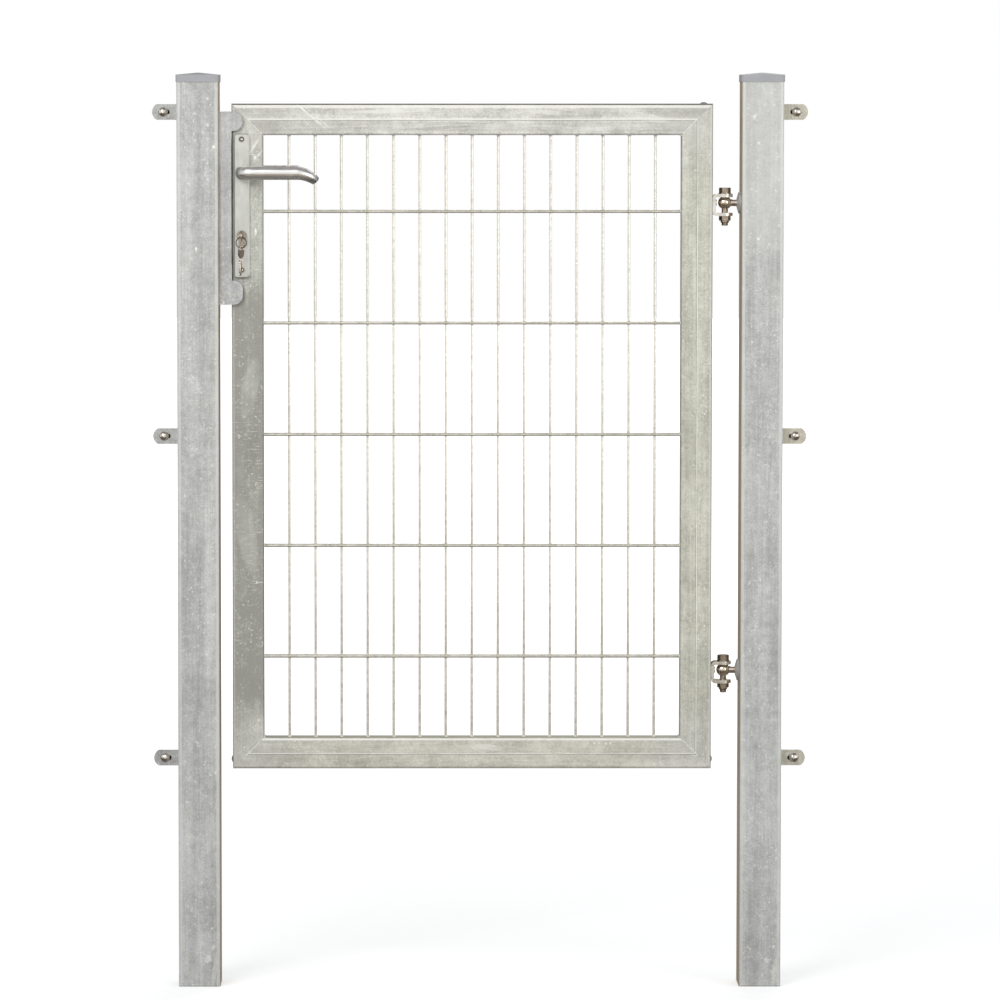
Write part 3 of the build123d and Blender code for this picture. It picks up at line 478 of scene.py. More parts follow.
def plated_steel(name, pale, dark, rough, turned="z", shaded=None, grimy=0.35):
    """Zinc plated fasteners: mirror bright, with fine turning lines and dull patches."""
    material, shader, place = blank(name, metallic=1.0, roughness=rough)
    patches = place.noise(150, 4, 0.6)
    turning = place.stretch(*along_axis(turned, 1500, 60)).noise(1, 2)
    grime = place.noise(70, 3, 0.6).rise(0.55, 0.75)
    colour = (patches * 0.8 + turning * 0.4).rise(0.3, 0.9).tint(dark, pale)
    colour = (grime * grimy).tint(colour, shade(120, 104, 84))
    if shaded:
        letter, at, width = shaded
        colour = band(place, letter, at, width, 0).tint(colour, shade(40, 36, 32))
    connect(colour, shader, "Base Color")
    connect(rough + (patches - 0.4) * 0.25 + grime * (grimy * 0.35), shader, "Roughness")
    raise_by(turning * 0.5 + patches * 0.6, shader, 0.00006)
    return material


def satin_aluminium(name, pale, dark, along, rough, metallic=0.9, tone_bands=(), marks=()):
    """Aluminium brushed along one axis, with small nicks, and with bands and spots of painted shade
    and painted highlight.
    """
    material, shader, place = blank(name, metallic=metallic, roughness=rough)
    brush = place.stretch(*along_axis(along, 30, 1300)).noise(1, 3, 0.6)
    clouds = place.noise(45, 3, 0.55)
    nicks = place.dots(150)
    nick = (nicks + (1 - nicks.dot_choice(0)) * 0.6).rise(0.1, 0.06)
    colour = (brush * 0.5 + clouds * 0.5).rise(0.2, 0.8).tint(dark, pale)
    colour = (nick * 0.3).tint(colour, shade(120, 118, 114))
    for letter, at, width, tinted, strength in tone_bands:
        colour = (abs(axis_of(place, letter) - at).rise(width, 0) * strength).tint(colour, tinted)
    for x, z, radius, tinted, strength in marks:
        colour = (spot(place, x, z, radius, radius, 0, plate_low.y) * strength).tint(colour, tinted)
    connect(colour, shader, "Base Color")
    connect(rough + (brush - 0.5) * 0.08 + (clouds - 0.5) * 0.06, shader, "Roughness")
    raise_by(brush - nick * 0.7, shader, 0.00002)
    return material


def moulded_plastic(name, pale, dark):
    material, shader, place = blank(name, metallic=0.0, roughness=0.5)
    grain = place.noise(1300, 2, 0.6)
    clouds = place.noise(30, 3, 0.5)
    scuffs = place.stretch(900, 60, 300).noise(1, 2).rise(0.66, 0.75)
    colour = (grain * 0.4 + clouds * 0.6).rise(0.2, 0.8).tint(dark, pale)
    colour = (scuffs * 0.25).tint(colour, shade(186, 187, 189))
    # Upward faces are painted darker: painted shade on the tops.
    facing = place.tree.nodes.new("ShaderNodeNewGeometry")
    painted_top_shade = axis_of(Wire(facing.outputs["Normal"]), "Z").rise(0.3, 0.9)
    colour = (painted_top_shade * 0.4).tint(colour, shade(110, 111, 114))
    connect(colour, shader, "Base Color")
    connect(0.45 + grain * 0.2, shader, "Roughness")
    raise_by(grain, shader, 0.00012)
    return material


def nickelled_brass(name, pale, dark, rough, dark_bands=()):
    material, shader, place = blank(name, metallic=1.0, roughness=rough)
    rub = place.stretch(700, 90, 700).noise(1, 3)
    clouds = place.noise(160, 3)
    grime = place.noise(90, 3, 0.6).rise(0.52, 0.72)
    colour = (rub * 0.5 + clouds * 0.6).rise(0.3, 0.8).tint(dark, pale)
    colour = (grime * 0.5).tint(colour, shade(132, 108, 80))
    for letter, at, width, tinted, strength in dark_bands:
        colour = (band(place, letter, at, width) * strength).tint(colour, tinted)
    connect(colour, shader, "Base Color")
    connect(rough + (rub - 0.5) * 0.2, shader, "Roughness")
    raise_by(rub, shader, 0.00005)
    return material


# %% Their colours
lever_low, lever_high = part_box("front_lever")
mesh_zinc = wire_zinc()
bead_zinc = weld_zinc("bead_zinc", shade(250, 249, 244), shade(206, 204, 194))
hinge_steel = plated_steel("hinge_steel", shade(242, 232, 220), shade(180, 164, 148), 0.1, "x")
head_steel = plated_steel("head_steel", shade(184, 172, 156), shade(120, 106, 92), 0.26)
fork_steel = plated_steel("fork_steel", shade(240, 238, 232), shade(198, 194, 184), 0.24, "y")
screw_steel = plated_steel("screw_steel", shade(232, 226, 218), shade(176, 168, 156), 0.16, "y")
# The lever's darker ends are painted shade, and the darker band along the middle of its grip is a
# painted reflection.
lever_metal = satin_aluminium(
    "lever_metal", shade(244, 243, 241), shade(212, 210, 206), "x", 0.26,
    tone_bands=[
        ("X", lever_low.x, 0.024, shade(104, 102, 100), 0.7),
        ("X", lever_high.x, 0.016, shade(120, 119, 118), 0.6),
        ("Z", 1.5480, 0.0075, shade(120, 117, 112), 0.55),
    ],
)
plate_screw_zs = (1.377, 1.626)
plug_z, cylinder_foot_z = 1.4425, 1.4265
# Painted highlight along the plate's right edge; painted shadow along its bottom and left edges and
# in its screw recesses; painted shade around the cylinder and its plug.
plate_metal = satin_aluminium(
    "plate_metal", shade(214, 215, 208), shade(184, 185, 178), "z", 0.38, 0.6,
    tone_bands=[
        ("X", plate_high.x, 0.0022, shade(246, 246, 242), 0.8),
        ("Z", plate_low.z, 0.0022, shade(120, 104, 84), 0.7),
        ("X", plate_low.x, 0.0018, shade(150, 149, 144), 0.6),
    ],
    marks=[
        *[(plate_x, z, 0.0058, shade(70, 58, 48), 0.85) for z in plate_screw_zs],
        (plate_x, plug_z, 0.0106, shade(96, 84, 72), 0.5),
        (plate_x, cylinder_foot_z, 0.0060, shade(110, 98, 86), 0.5),
    ],
)
cap_plastic = moulded_plastic("cap_plastic", shade(171, 171, 173), shade(154, 154, 157))
plug_plastic = moulded_plastic("plug_plastic", shade(140, 138, 134), shade(112, 110, 106))
cylinder_metal = nickelled_brass("cylinder_metal", shade(196, 186, 170), shade(112, 98, 82), 0.16)
spare_bow_z, spare_tip_z = 1.4085, 1.3675
key_metal = nickelled_brass(
    "key_metal", shade(244, 241, 234), shade(176, 166, 150), 0.14,
    # The dark band over the spare key's bow is a painted reflection; its tip is darker too.
    dark_bands=[
        ("Z", spare_bow_z, 0.0105, shade(84, 64, 50), 0.85),
        ("Z", spare_tip_z, 0.0016, shade(60, 50, 42), 0.9),
    ],
)
ring_steel = plated_steel("ring_steel", shade(104, 90, 78), shade(44, 36, 30), 0.12)
forend_steel = plated_steel(
    "forend_steel", shade(226, 225, 222), shade(196, 194, 190), 0.3, "x", grimy=0.08
)
lug_face_y = 0.0025
washer_steel = plated_steel(
    "washer_steel", shade(232, 226, 218), shade(176, 168, 156), 0.16, "y",
    shaded=("Y", lug_face_y, 0.0007),
)
print(len(bpy.data.materials), "materials")

# %% Give every solid node its finish
finishes = {
    zinc_post: ["lock_post", "hinge_post"],
    zinc_plate: ["strike_plate", "upper_hinge_flange", "lower_hinge_flange"],
    zinc_left_lug: ["lock_post_lug_top", "lock_post_lug_middle", "lock_post_lug_bottom"],
    zinc_right_lug: ["hinge_post_lug_top", "hinge_post_lug_middle", "hinge_post_lug_bottom"],
    zinc_top_rail: ["top_rail"],
    zinc_bottom_rail: ["bottom_rail"],
    zinc_hinge_stile: ["hinge_stile"],
    zinc_lock_stile: ["lock_stile"],
    mesh_zinc: ["mesh_panel"],
    cap_plastic: ["lock_post_cap", "hinge_post_cap"],
    plug_plastic: ["vent_plugs"],
    fork_steel: ["upper_hinge_fork", "lower_hinge_fork"],
    hinge_steel: ["upper_eye_bolt", "lower_eye_bolt", "fork_screws"],
    head_steel: ["upper_hinge_bolt", "lower_hinge_bolt", "upper_hinge_nut", "lower_hinge_nut"],
    washer_steel: [name for name in nodes if name.endswith("_lug_nuts")],
    screw_steel: [name for name in nodes if name.endswith("_lug_bolts")]
    + ["escutcheon_screws", "lever_spindle"],
    forend_steel: ["lock_case", "latch_bolt", "dead_bolt"],
    plate_metal: ["front_escutcheon", "back_escutcheon"],
    lever_metal: ["front_lever", "back_lever"],
    cylinder_metal: ["lock_cylinder", "cylinder_plug"],
    key_metal: ["key", "spare_key"],
    ring_steel: ["key_ring"],
}


def finish_with(piece, material):
    """Puts one material on every slot of a piece."""
    if not piece.material_slots:
        piece.data.materials.append(material)
    for slot in piece.material_slots:
        slot.material = material


for material, names in finishes.items():
    for name in names:
        finish_with(nodes[name], material)
bare = set(nodes) - {name for names in finishes.values() for name in names}
print("nodes without a finish:", sorted(bare))

# %% [markdown]
# ## Helpers for modelling by hand
# Operators act on all that is selected, and the load step leaves every node selected.
# These helpers select one piece, settle its place into its mesh, copy it with a mesh
# of its own, and join copies into one named piece.

# %% Helpers for operators


def only(piece):
    """Selects one piece and nothing else."""
    if bpy.context.object and bpy.context.object.mode != "OBJECT":
        bpy.ops.object.mode_set(mode="OBJECT")
    bpy.ops.object.select_all(action="DESELECT")
    piece.select_set(True)
    bpy.context.view_layer.objects.active = piece


def settle(piece):
    """Moves a piece's place, turn and scale into its mesh, with its modifiers applied."""
    only(piece)
    bpy.ops.object.transform_apply(location=True, rotation=True, scale=True)
    for modifier in list(piece.modifiers):
        bpy.ops.object.modifier_apply(modifier=modifier.name)
    return piece


def copy_to(piece, move=(0, 0, 0), turn=(0, 0, 0), grow=(1, 1, 1)):
    """A settled copy of a piece, turned and scaled about the origin and then moved."""
    only(piece)
    bpy.ops.object.duplicate()
    made = bpy.context.object
    made.scale = grow
    made.rotation_euler = turn
    made.location = move
    return settle(made)


def gather(pieces, name, body, material, replaced=()):
    """Joins pieces into one, names it, and gives it its body and finish."""
    only(pieces[0])
    for piece in pieces:
        piece.select_set(True)
    if len(pieces) > 1:
        bpy.ops.object.join()
    made = bpy.context.object
    made.name = name
    made.data.name = name
    made.data.materials.clear()
    finish_with(made, material)
    only(made)
    bpy.ops.object.shade_smooth_by_angle(angle=radians(35))
    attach(made, body)
    if replaced:
        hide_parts(*replaced)
    print(name, len(made.data.polygons), "faces")
    return made


def choose_edges(piece, test):
    """In edit mode, selects the edges whose middle and direction pass a test."""
    only(piece)
    bpy.ops.object.mode_set(mode="EDIT")
    bpy.ops.mesh.select_mode(type="EDGE")
    bpy.ops.mesh.select_all(action="DESELECT")
    done()
    mesh = piece.data
    for edge in mesh.edges:
        low, high = [mesh.vertices[i].co for i in edge.vertices]
        edge.select = test((low + high) / 2, high - low)
    bpy.ops.object.mode_set(mode="EDIT")


def done():
    """Leaves edit mode."""
    bpy.ops.object.mode_set(mode="OBJECT")


# %% Copies of solid nodes, and cutting with a tool shape


def twin(name):
    """A copy of a solid node's mesh as a new piece, with its loose triangles merged."""
    piece = bpy.data.objects.new(name + "_copy", nodes[name].data.copy())
    bpy.context.scene.collection.objects.link(piece)
    only(piece)
    bpy.ops.object.mode_set(mode="EDIT")
    bpy.ops.mesh.select_all(action="SELECT")
    bpy.ops.mesh.remove_doubles(threshold=0.000001)  # a thousandth of a millimetre
    done()
    return piece


def carve(piece, tools):
    """Cuts tool shapes out of a piece and removes them."""
    for tool in tools:
        only(piece)
        cut = piece.modifiers.new("cut", "BOOLEAN")
        cut.operation = "DIFFERENCE"
        cut.solver = "EXACT"
        cut.object = tool
        bpy.ops.object.modifier_apply(modifier=cut.name)
        bpy.data.objects.remove(tool)
    return piece


def cylinder(sides, radius, length):
    """A prism or round bar along Z about the origin, with flat ends."""
    bpy.ops.object.select_all(action="DESELECT")
    bpy.ops.mesh.primitive_cylinder_add(
        vertices=sides, radius=radius, depth=length, end_fill_type="NGON"
    )
    return bpy.context.object


def bar(sides, radius, length, place=(0, 0, 0), turn=(0, 0, 0)):
    """A cylinder, turned about its middle and moved to its place."""
    made = cylinder(sides, radius, length)
    made.rotation_euler = turn
    made.location = place
    return settle(made)


# %% [markdown]
# ## The mesh panel
# A double-wire mat has one upright between two level wires, pressed together and
# resistance welded. The solid model has eight-sided bars. Round wires are a cylinder
# each: the upright gets rings at its crossings that are squeezed a little where the
# electrodes pressed, and the copies keep the solid's own places.

# %% Measure the wires of the solid mesh
upright_radius, rung_radius = 0.0025, 0.003
upright_pitch, rung_pitch = 0.05, 0.2135
upright_total, rung_total = 15, 5
rungs_above_middle = 0.005
mesh_middle_x = (mesh_low.x + mesh_high.x) / 2
mesh_middle_z = (mesh_low.z + mesh_high.z) / 2
rung_y = mesh_high.y - rung_radius


def row(middle, total, pitch):
    """Evenly spaced places on both sides of a middle."""
    return [middle + (i - (total - 1) / 2) * pitch for i in range(total)]


upright_xs = row(mesh_middle_x, upright_total, upright_pitch)
rung_zs = row(mesh_middle_z + rungs_above_middle, rung_total, rung_pitch)
print("uprights from", round(upright_xs[0], 3), "to", round(upright_xs[-1], 3))

# %% One upright, one rung and their copies


def round_wire(radius, length, crossings, turn=(0, 0, 0)):
    """A wire with its middle at the origin and a slight waist at each crossing."""
    wire = cylinder(20, radius, length)
    for height in crossings:
        for step in (-2.2, -0.8, 0.8, 2.2):
            only(wire)
            bpy.ops.object.mode_set(mode="EDIT")
            bpy.ops.mesh.select_all(action="SELECT")
            bpy.ops.mesh.bisect(plane_co=(0, 0, height + step * radius), plane_no=(0, 0, 1))
            done()
        choose_edges(wire, lambda c, d: abs(c.z - height) < radius and abs(d.z) < radius / 10)
        bpy.ops.transform.resize(value=(1.06, 0.9, 1))
        done()
    wire.rotation_euler = turn
    return settle(wire)


upright = round_wire(upright_radius, mesh_high.z - mesh_low.z, [z - mesh_middle_z for z in rung_zs])
rung = round_wire(rung_radius, mesh_high.x - mesh_low.x, [], turn=(0, pi / 2, 0))
wires = [copy_to(upright, (x, 0, mesh_middle_z)) for x in upright_xs]
wires += [copy_to(rung, (mesh_middle_x, y, z)) for y in (-rung_y, rung_y) for z in rung_zs]
for pattern in (upright, rung):
    bpy.data.objects.remove(pattern)
gather(wires, "mesh_wires", "leaf", mesh_zinc, ["mesh_panel"])

# %% [markdown]
# ## Weld beads
# Zinc gathers where wires cross, and a small puddle sits at the foot of each wire on
# the tube. A bead is a sphere squashed to a lump, with its points moved a little by a
# seeded noise. Each kind is modelled once, and a turn makes its copies look different.

# %% Beads at crossings and wire ends
random.seed(7)


def lump(size, ragged, levels=2):
    """A sphere of three radii about the origin, made uneven."""
    bpy.ops.object.select_all(action="DESELECT")
    bpy.ops.mesh.primitive_ico_sphere_add(subdivisions=levels, radius=1)
    bead = bpy.context.object
    bpy.ops.object.mode_set(mode="EDIT")
    bpy.ops.mesh.select_all(action="SELECT")
    bpy.ops.transform.vertex_random(offset=ragged, seed=random.randint(1, 999))
    bpy.ops.mesh.vertices_smooth(factor=0.4)
    done()
    bead.scale = size
    return settle(bead)


crossing_y, jitter = 0.0022, 0.0004
crossing_bead = lump((0.0036, 0.0031, 0.0034), 0.08, 1)
foot_bead = lump((0.0042, 0.0042, 0.0030), 0.12)
side_bead = lump((0.0026, 0.0044, 0.0042), 0.12)
beads = []
for z in rung_zs:
    for x in upright_xs:
        for side in (-1, 1):
            place, turn = (x, side * crossing_y, z), (0, random.uniform(0, pi), 0)
            beads.append(copy_to(crossing_bead, place, turn))
for x in upright_xs:
    for z in (mesh_low.z, mesh_high.z):
        place = (x + random.uniform(-jitter, jitter), 0, z)
        beads.append(copy_to(foot_bead, place, (0, 0, random.uniform(0, tau))))
for z in rung_zs:
    for side in (-1, 1):
        for x in (mesh_low.x, mesh_high.x):
            beads.append(copy_to(side_bead, (x, side * rung_y, z), (random.uniform(0, tau), 0, 0)))
for pattern in (crossing_bead, foot_bead, side_bead):
    bpy.data.objects.remove(pattern)
gather(beads, "mesh_weld_beads", "leaf", bead_zinc)

# %% [markdown]
# ## Mitre welds
# The frame's tubes are cut at 45 degrees and welded. On the faces the weld is ground
# nearly flat, so only its inner half still stands proud. Each is a low bead along
# the mitre: a cylinder with many rings whose points are moved unevenly, half sunk.

# %% A bead along each inner corner, front and back


def weld_bead(start, end, radius, ripple):
    """A rippled bead from one point to another."""
    start, end = Vector(start), Vector(end)
    run = end - start
    ring_gap = 0.0016
    bead = cylinder(12, radius, run.length)
    choose_edges(bead, lambda c, d: abs(d.z) > run.length / 2)
    bpy.ops.mesh.subdivide(number_cuts=max(8, int(run.length / ring_gap)))
    bpy.ops.mesh.select_all(action="SELECT")
    bpy.ops.transform.vertex_random(offset=ripple, seed=random.randint(1, 999))
    bpy.ops.mesh.vertices_smooth(factor=0.3)
    done()
    bead.rotation_mode = "QUATERNION"
    bead.rotation_quaternion = run.to_track_quat("Z", "Y")
    bead.location = (start + end) / 2
    return settle(bead)


sunk, inside = 0.0003, 0.003
corner_beads = []
for x, inward in ((leaf_left, 1), (leaf_right, -1)):
    for z, up in ((leaf_bottom, 1), (leaf_top, -1)):
        for y in (leaf_front + sunk, leaf_back - sunk):
            inner = (x + inward * rail_height * 0.96, y, z + up * rail_height * 0.96)
            outer = (x + inward * rail_height * 0.42, y, z + up * rail_height * 0.42)
            corner_beads.append(weld_bead(inner, outer, 0.0009, 0.0004))
        x_in, z_in = x + inward * rail_height, z + up * rail_height
        front, back = (x_in, leaf_front + inside, z_in), (x_in, leaf_back - inside, z_in)
        corner_beads.append(weld_bead(front, back, 0.0022, 0.0006))
gather(corner_beads, "corner_welds", "leaf", bead_zinc)

# %% [markdown]
# ## Welds of the fence lugs
# Each lug is a flat bar welded edge-on to its post, with a bead down both of its broad
# sides and a short one across its top and bottom edge. A bead is the same rippled bar
# as at the mitres.

# %% Beads at the lugs
lug_beads = []
for name in [n for n in nodes if "_lug_" in n and n.endswith(("top", "middle", "bottom"))]:
    low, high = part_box(name)
    at = low.x if low.x > 0 else high.x
    foot, head = low.z + 0.001, high.z - 0.001
    for y in (low.y, high.y):
        lug_beads.append(weld_bead((at, y, foot), (at, y, head), 0.0019, 0.0009))
    for z in (low.z, high.z):
        lug_beads.append(weld_bead((at, low.y, z), (at, high.y, z), 0.0017, 0.0008))
gather(lug_beads, "lug_welds", "posts", bead_zinc)

# %% [markdown]
# ## Drops of zinc
# Where zinc ran off as the gate left the bath it froze as small drops. They are lumps
# with two different radii, half sunk in the face, at the places where the biggest sit.
# Three clusters of tiny lumps on the hinge stile are dross, scattered by the seeded noise.

# %% Drops on the frame and the posts
drop_height = 0.0007
drop_places = {
    "leaf": [
        (-0.9660, 1.4492, 0.0022, 0.0065), (-0.9668, 1.5903, 0.0020, 0.0036),
        (-0.330, 0.4675, 0.0016, 0.0016), (-0.309, 0.4675, 0.0018, 0.0014),
        (-0.287, 0.4690, 0.0015, 0.0018), (-0.620, 0.4700, 0.0014, 0.0012),
        (-0.9900, 0.4600, 0.0014, 0.0018), (-0.500, 1.6420, 0.0012, 0.0012),
        (-0.230, 1.6440, 0.0014, 0.0012),
    ],
    "posts": [
        (-1.0445, 1.6106, 0.0022, 0.0028), (-1.0789, 1.4168, 0.0016, 0.0036),
        (-0.0084, 1.4360, 0.0022, 0.0030), (-0.0084, 1.6183, 0.0022, 0.0026),
        (0.0241, 1.5280, 0.0018, 0.0020), (-0.0160, 1.6687, 0.0020, 0.0030),
        (-1.0900, 0.7700, 0.0014, 0.0016), (-1.1060, 0.0790, 0.0012, 0.0012),
        (0.0150, 0.9100, 0.0014, 0.0020), (-1.0600, 1.1200, 0.0012, 0.0016),
        (-0.0200, 0.3300, 0.0014, 0.0020),
    ],
}
for height, tall in ((1.117, 0.022), (0.910, 0.028), (0.684, 0.032)):
    for _ in range(16):
        drop_places["leaf"].append((
            random.uniform(-0.1185, -0.1040), height + random.uniform(-tall, tall),
            random.uniform(0.0006, 0.0016), random.uniform(0.0008, 0.0030),
        ))
for body, drops in drop_places.items():
    face = leaf_front if body == "leaf" else post_front
    lumps = [lump((wide, drop_height, high), 0.1) for x, z, wide, high in drops]
    moved = []
    for piece, (x, z, wide, high) in zip(lumps, drops):
        piece.location = (x, face, z)
        moved.append(settle(piece))
    gather(moved, f"zinc_drops_{body}", body, bead_zinc)

# %% [markdown]
# ## Threads
# The tail of each hinge bolt and carriage bolt is threaded. The solids have plain
# shanks, and a thread is a cylinder with many rings, of which every second one is
# pulled in. It sleeves the shank's bare end and stands a fraction of a millimetre proud.

# %% Thread sleeves


def thread(radius, length, pitch, place, turn):
    """A sleeve of ridges along an axis; turn brings Z to that axis."""
    sleeve = cylinder(24, radius, length)
    rings = max(3, int(length / pitch) * 2 - 1)
    choose_edges(sleeve, lambda c, d: abs(d.z) > length / 2)
    bpy.ops.mesh.subdivide(number_cuts=rings)
    done()
    gap = length / (rings + 1)
    choose_edges(
        sleeve, lambda c, d: abs(d.z) < gap / 9 and round((c.z + length / 2) / gap) % 2 == 0
    )
    bpy.ops.transform.resize(value=(0.9, 0.9, 1))
    done()
    sleeve.rotation_euler = turn
    sleeve.location = place
    return settle(sleeve)


hinge_end, lug_end = 0.0011, 0.0006
threads = []
for name in ("upper_hinge_bolt", "lower_hinge_bolt"):
    low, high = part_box(name)
    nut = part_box(name.replace("bolt", "nut"))[0].z
    middle = ((low.x + high.x) / 2, 0, (nut + low.z + hinge_end) / 2)
    threads.append(thread(0.0063, nut - low.z - hinge_end, 0.00175, middle, (0, 0, 0)))
gather(threads, "hinge_bolt_threads", "leaf", head_steel)
threads = []
for post in ("lock_post", "hinge_post"):
    low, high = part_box(post + "_lug_bolts")
    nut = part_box(post + "_lug_nuts")[1].y
    for level in ("top", "middle", "bottom"):
        lug_low, lug_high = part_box(f"{post}_lug_{level}")
        middle = ((low.x + high.x) / 2, (nut + high.y - lug_end) / 2, (lug_low.z + lug_high.z) / 2)
        threads.append(thread(0.0042, high.y - lug_end - nut, 0.00125, middle, (pi / 2, 0, 0)))
gather(threads, "lug_bolt_threads", "posts", screw_steel)

# %% [markdown]
# ## Cut keys and screw sockets
# A key blank becomes a key when its edge is notched and a groove is milled along each
# side. Both are cuts with tool shapes from a copy of the solid. The spare key hangs
# leaning from its ring, so its cutters are made in the key's own frame and turned with
# it. The plate's screws get a hexagon socket each, cut in the same way.

# %% The two keys


def cut_key(name, middle, up, flat):
    """Notches and grooves a key; up runs from blade to bow, flat is square to its sides."""
    across = flat.cross(up)
    turn = Matrix((up, across, flat)).transposed()

    def at(along, aside, out=0.0):
        return tuple(middle + up * along + across * aside + flat * out)

    first_notch, notch_pitch, blade_half, notch_radius = 0.0195, 0.0042, 0.0040, 0.0030
    tools = []
    for step, depth in enumerate((0.0012, 0.0021, 0.0009, 0.0018, 0.0013)):
        notch = bar(4, notch_radius, 0.006)
        notch.rotation_euler = turn.to_euler()
        notch.location = at(-first_notch - step * notch_pitch, blade_half + notch_radius - depth)
        tools.append(settle(notch))
    for side in (-1, 1):
        groove = bar(12, 0.0009, 0.030)
        groove.rotation_euler = (turn @ Matrix.Rotation(pi / 2, 3, "Y")).to_euler()
        groove.location = at(-0.0300, -0.0010, side * 0.0014)
        tools.append(settle(groove))
    return gather([carve(twin(name), tools)], "cut_" + name, "key", key_metal, [name])


spare_low, spare_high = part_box("spare_key")
spare_turn, spare_lean, bow_radius = radians(65), radians(6), 0.0115
spare_middle = (spare_low + spare_high) / 2
cut_key(
    "spare_key",
    Vector((spare_middle.x, spare_middle.y, spare_high.z - bow_radius)),
    Vector((sin(spare_lean) * cos(spare_turn), sin(spare_lean) * sin(spare_turn), cos(spare_lean))),
    Vector((sin(spare_turn), -cos(spare_turn), 0)),
)
key_low, key_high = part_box("key")
key_middle = (key_low + key_high) / 2
cut_key(
    "key", Vector((key_middle.x, key_low.y + bow_radius, key_middle.z)),
    Vector((0, -1, 0)), Vector((1, 0, 0)),
)

# %% Sockets in the plates' screws
screw_head_radius = 0.0038
tools = []
screw_low, screw_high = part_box("escutcheon_screws")
for y in (screw_low.y, screw_high.y):
    for z in (screw_low.z + screw_head_radius, screw_high.z - screw_head_radius):
        tools.append(bar(6, 0.0017, 0.0034, (plate_x, y, z), (pi / 2, 0, 0)))
screws = carve(twin("escutcheon_screws"), tools)
gather([screws], "socket_screws", "leaf", screw_steel, ["escutcheon_screws"])

# %% [markdown]
# ## The studio
# The world shows white to the camera and to mirrors, and a soft grey to everything
# else, so a pale background adds no light to the gate. The floor does the same, but its
# white is partly its own lit surface near the gate, so that it keeps the gate's shadow,
# and fades to a plain glow farther off. Bright metal also needs something dark to
# mirror, so a few tinted cards stand where only reflections see them.

# %% Floor and world


def backdrop_white(tree, kind, plain, out):
    """A glow for the camera, mirrors and glass, and the plain shader for other rays."""
    path = tree.nodes.new("ShaderNodeLightPath")
    glow = tree.nodes.new(kind)
    glow.inputs["Color"].default_value = (1, 1, 1, 1)
    seen = Wire(path.outputs["Is Camera Ray"]).most(Wire(path.outputs["Is Glossy Ray"]))
    seen = seen.most(Wire(path.outputs["Is Transmission Ray"]))
    mix = tree.nodes.new("ShaderNodeMixShader")
    tree.links.new(seen.output, mix.inputs[0])
    tree.links.new(plain, mix.inputs[1])
    tree.links.new(mix.outputs[0], out.inputs["Surface"])
    return glow, mix


middle_x = -0.54
floor_size, near, far = 60, 2.0, 8.0
bpy.ops.object.select_all(action="DESELECT")
bpy.ops.mesh.primitive_plane_add(size=floor_size, location=(middle_x, 0, 0))
floor = bpy.context.object
floor.name = "studio_floor"
floor_material = bpy.data.materials.new("studio_floor")
floor_material.use_nodes = True
tree = floor_material.node_tree
floor_shader = tree.nodes["Principled BSDF"]
floor_shader.inputs["Base Color"].default_value = (0.62, 0.62, 0.62, 1)
floor_shader.inputs["Roughness"].default_value = 0.9
floor_shader.inputs["Specular IOR Level"].default_value = 0.1
glow, mix = backdrop_white(
    tree, "ShaderNodeEmission", floor_shader.outputs[0], tree.nodes["Material Output"]
)
place = Wire(tree.nodes.new("ShaderNodeTexCoord").outputs["Object"])
away = place.node("VectorMath", {"operation": "LENGTH"}, {0: place}, "Value").rise(near, far)
connect(away.tint((0.45, 0.45, 0.45, 1), (1, 1, 1, 1)), glow, "Color")
both = tree.nodes.new("ShaderNodeAddShader")
tree.links.new(glow.outputs[0], both.inputs[0])
tree.links.new(floor_shader.outputs[0], both.inputs[1])
tree.links.new(both.outputs[0], mix.inputs[2])
floor.data.materials.append(floor_material)

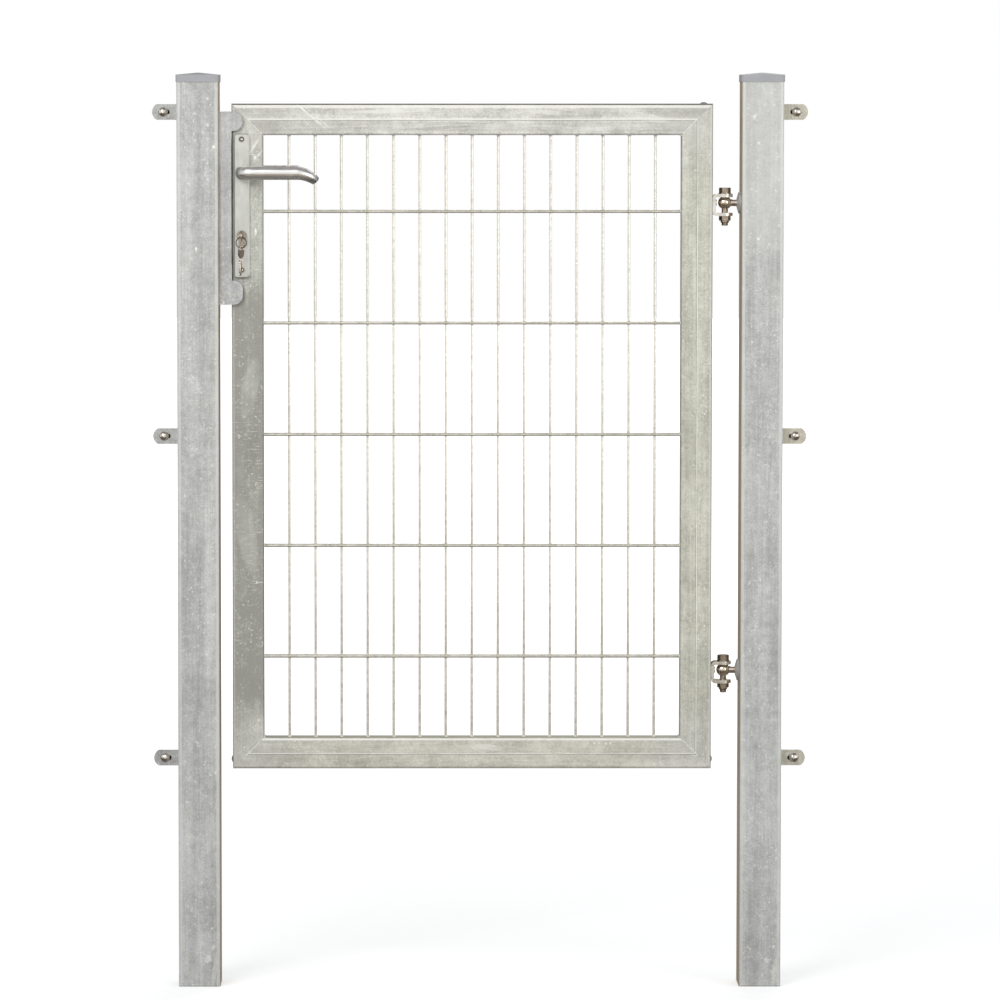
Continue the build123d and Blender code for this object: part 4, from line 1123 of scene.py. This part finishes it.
world = bpy.data.worlds.new("studio")
bpy.context.scene.world = world
world.use_nodes = True
tree = world.node_tree
sky = tree.nodes["Background"]
sky.inputs["Color"].default_value = (0.96, 0.98, 1.0, 1)
sky.inputs["Strength"].default_value = 0.62
glow, mix = backdrop_white(tree, "ShaderNodeBackground", sky.outputs[0], tree.nodes["World Output"])
tree.links.new(glow.outputs[0], mix.inputs[2])
print("floor", floor_size, "m wide")

# %% Cards and lamps


def reflected_card(name, size, place, turn, colour):
    """A card that only mirrors see, for the dark side of a bright metal."""
    bpy.ops.object.select_all(action="DESELECT")
    bpy.ops.mesh.primitive_plane_add(size=1)
    card = bpy.context.object
    card.name = name
    card.scale = (size[0], size[1], 1)
    card.rotation_euler = turn
    card.location = place
    settle(card)
    material = bpy.data.materials.new(name)
    material.use_nodes = True
    tree = material.node_tree
    glow = tree.nodes.new("ShaderNodeEmission")
    glow.inputs["Color"].default_value = colour
    tree.links.new(glow.outputs[0], tree.nodes["Material Output"].inputs["Surface"])
    card.data.materials.append(material)
    card.visible_camera = card.visible_diffuse = False
    card.visible_shadow = card.visible_transmission = False


def lamp(name, power, size, place, aim):
    """A square area lamp that faces a point."""
    light = bpy.data.lights.new(name, "AREA")
    light.energy = power
    light.size = size
    made = bpy.data.objects.new(name, light)
    bpy.context.scene.collection.objects.link(made)
    made.location = place
    made.rotation_euler = (Vector(aim) - Vector(place)).to_track_quat("-Z", "Y").to_euler()


level, upright_card, over_floor = (0, 0, 0), (pi / 2, 0, 0), 0.004
reflected_card("ground_card", (14, 7.5), (middle_x, -5.6, over_floor), level, shade(168, 155, 135))
reflected_card("near_card", (14, 8), (middle_x, 2.1, over_floor), level, shade(112, 106, 100))
reflected_card("ceiling_card", (14, 10.5), (middle_x, 0.75, 5.6), level, shade(146, 143, 148))
reflected_card("rear_card", (14, 5.6), (middle_x, 6.0, 2.8), upright_card, shade(122, 116, 104))
lamp_size = 3.0
lamp("key_lamp", 175, lamp_size, (-3.4, -4.8, 4.3), (middle_x, 0, 0.8))
lamp("fill_lamp", 75, lamp_size, (3.6, -3.8, 1.9), (middle_x, 0, 0.7))
lamp("back_lamp", 70, lamp_size, (0.6, 4.4, 4.4), (middle_x, 0, 0.9))
print("studio ready")
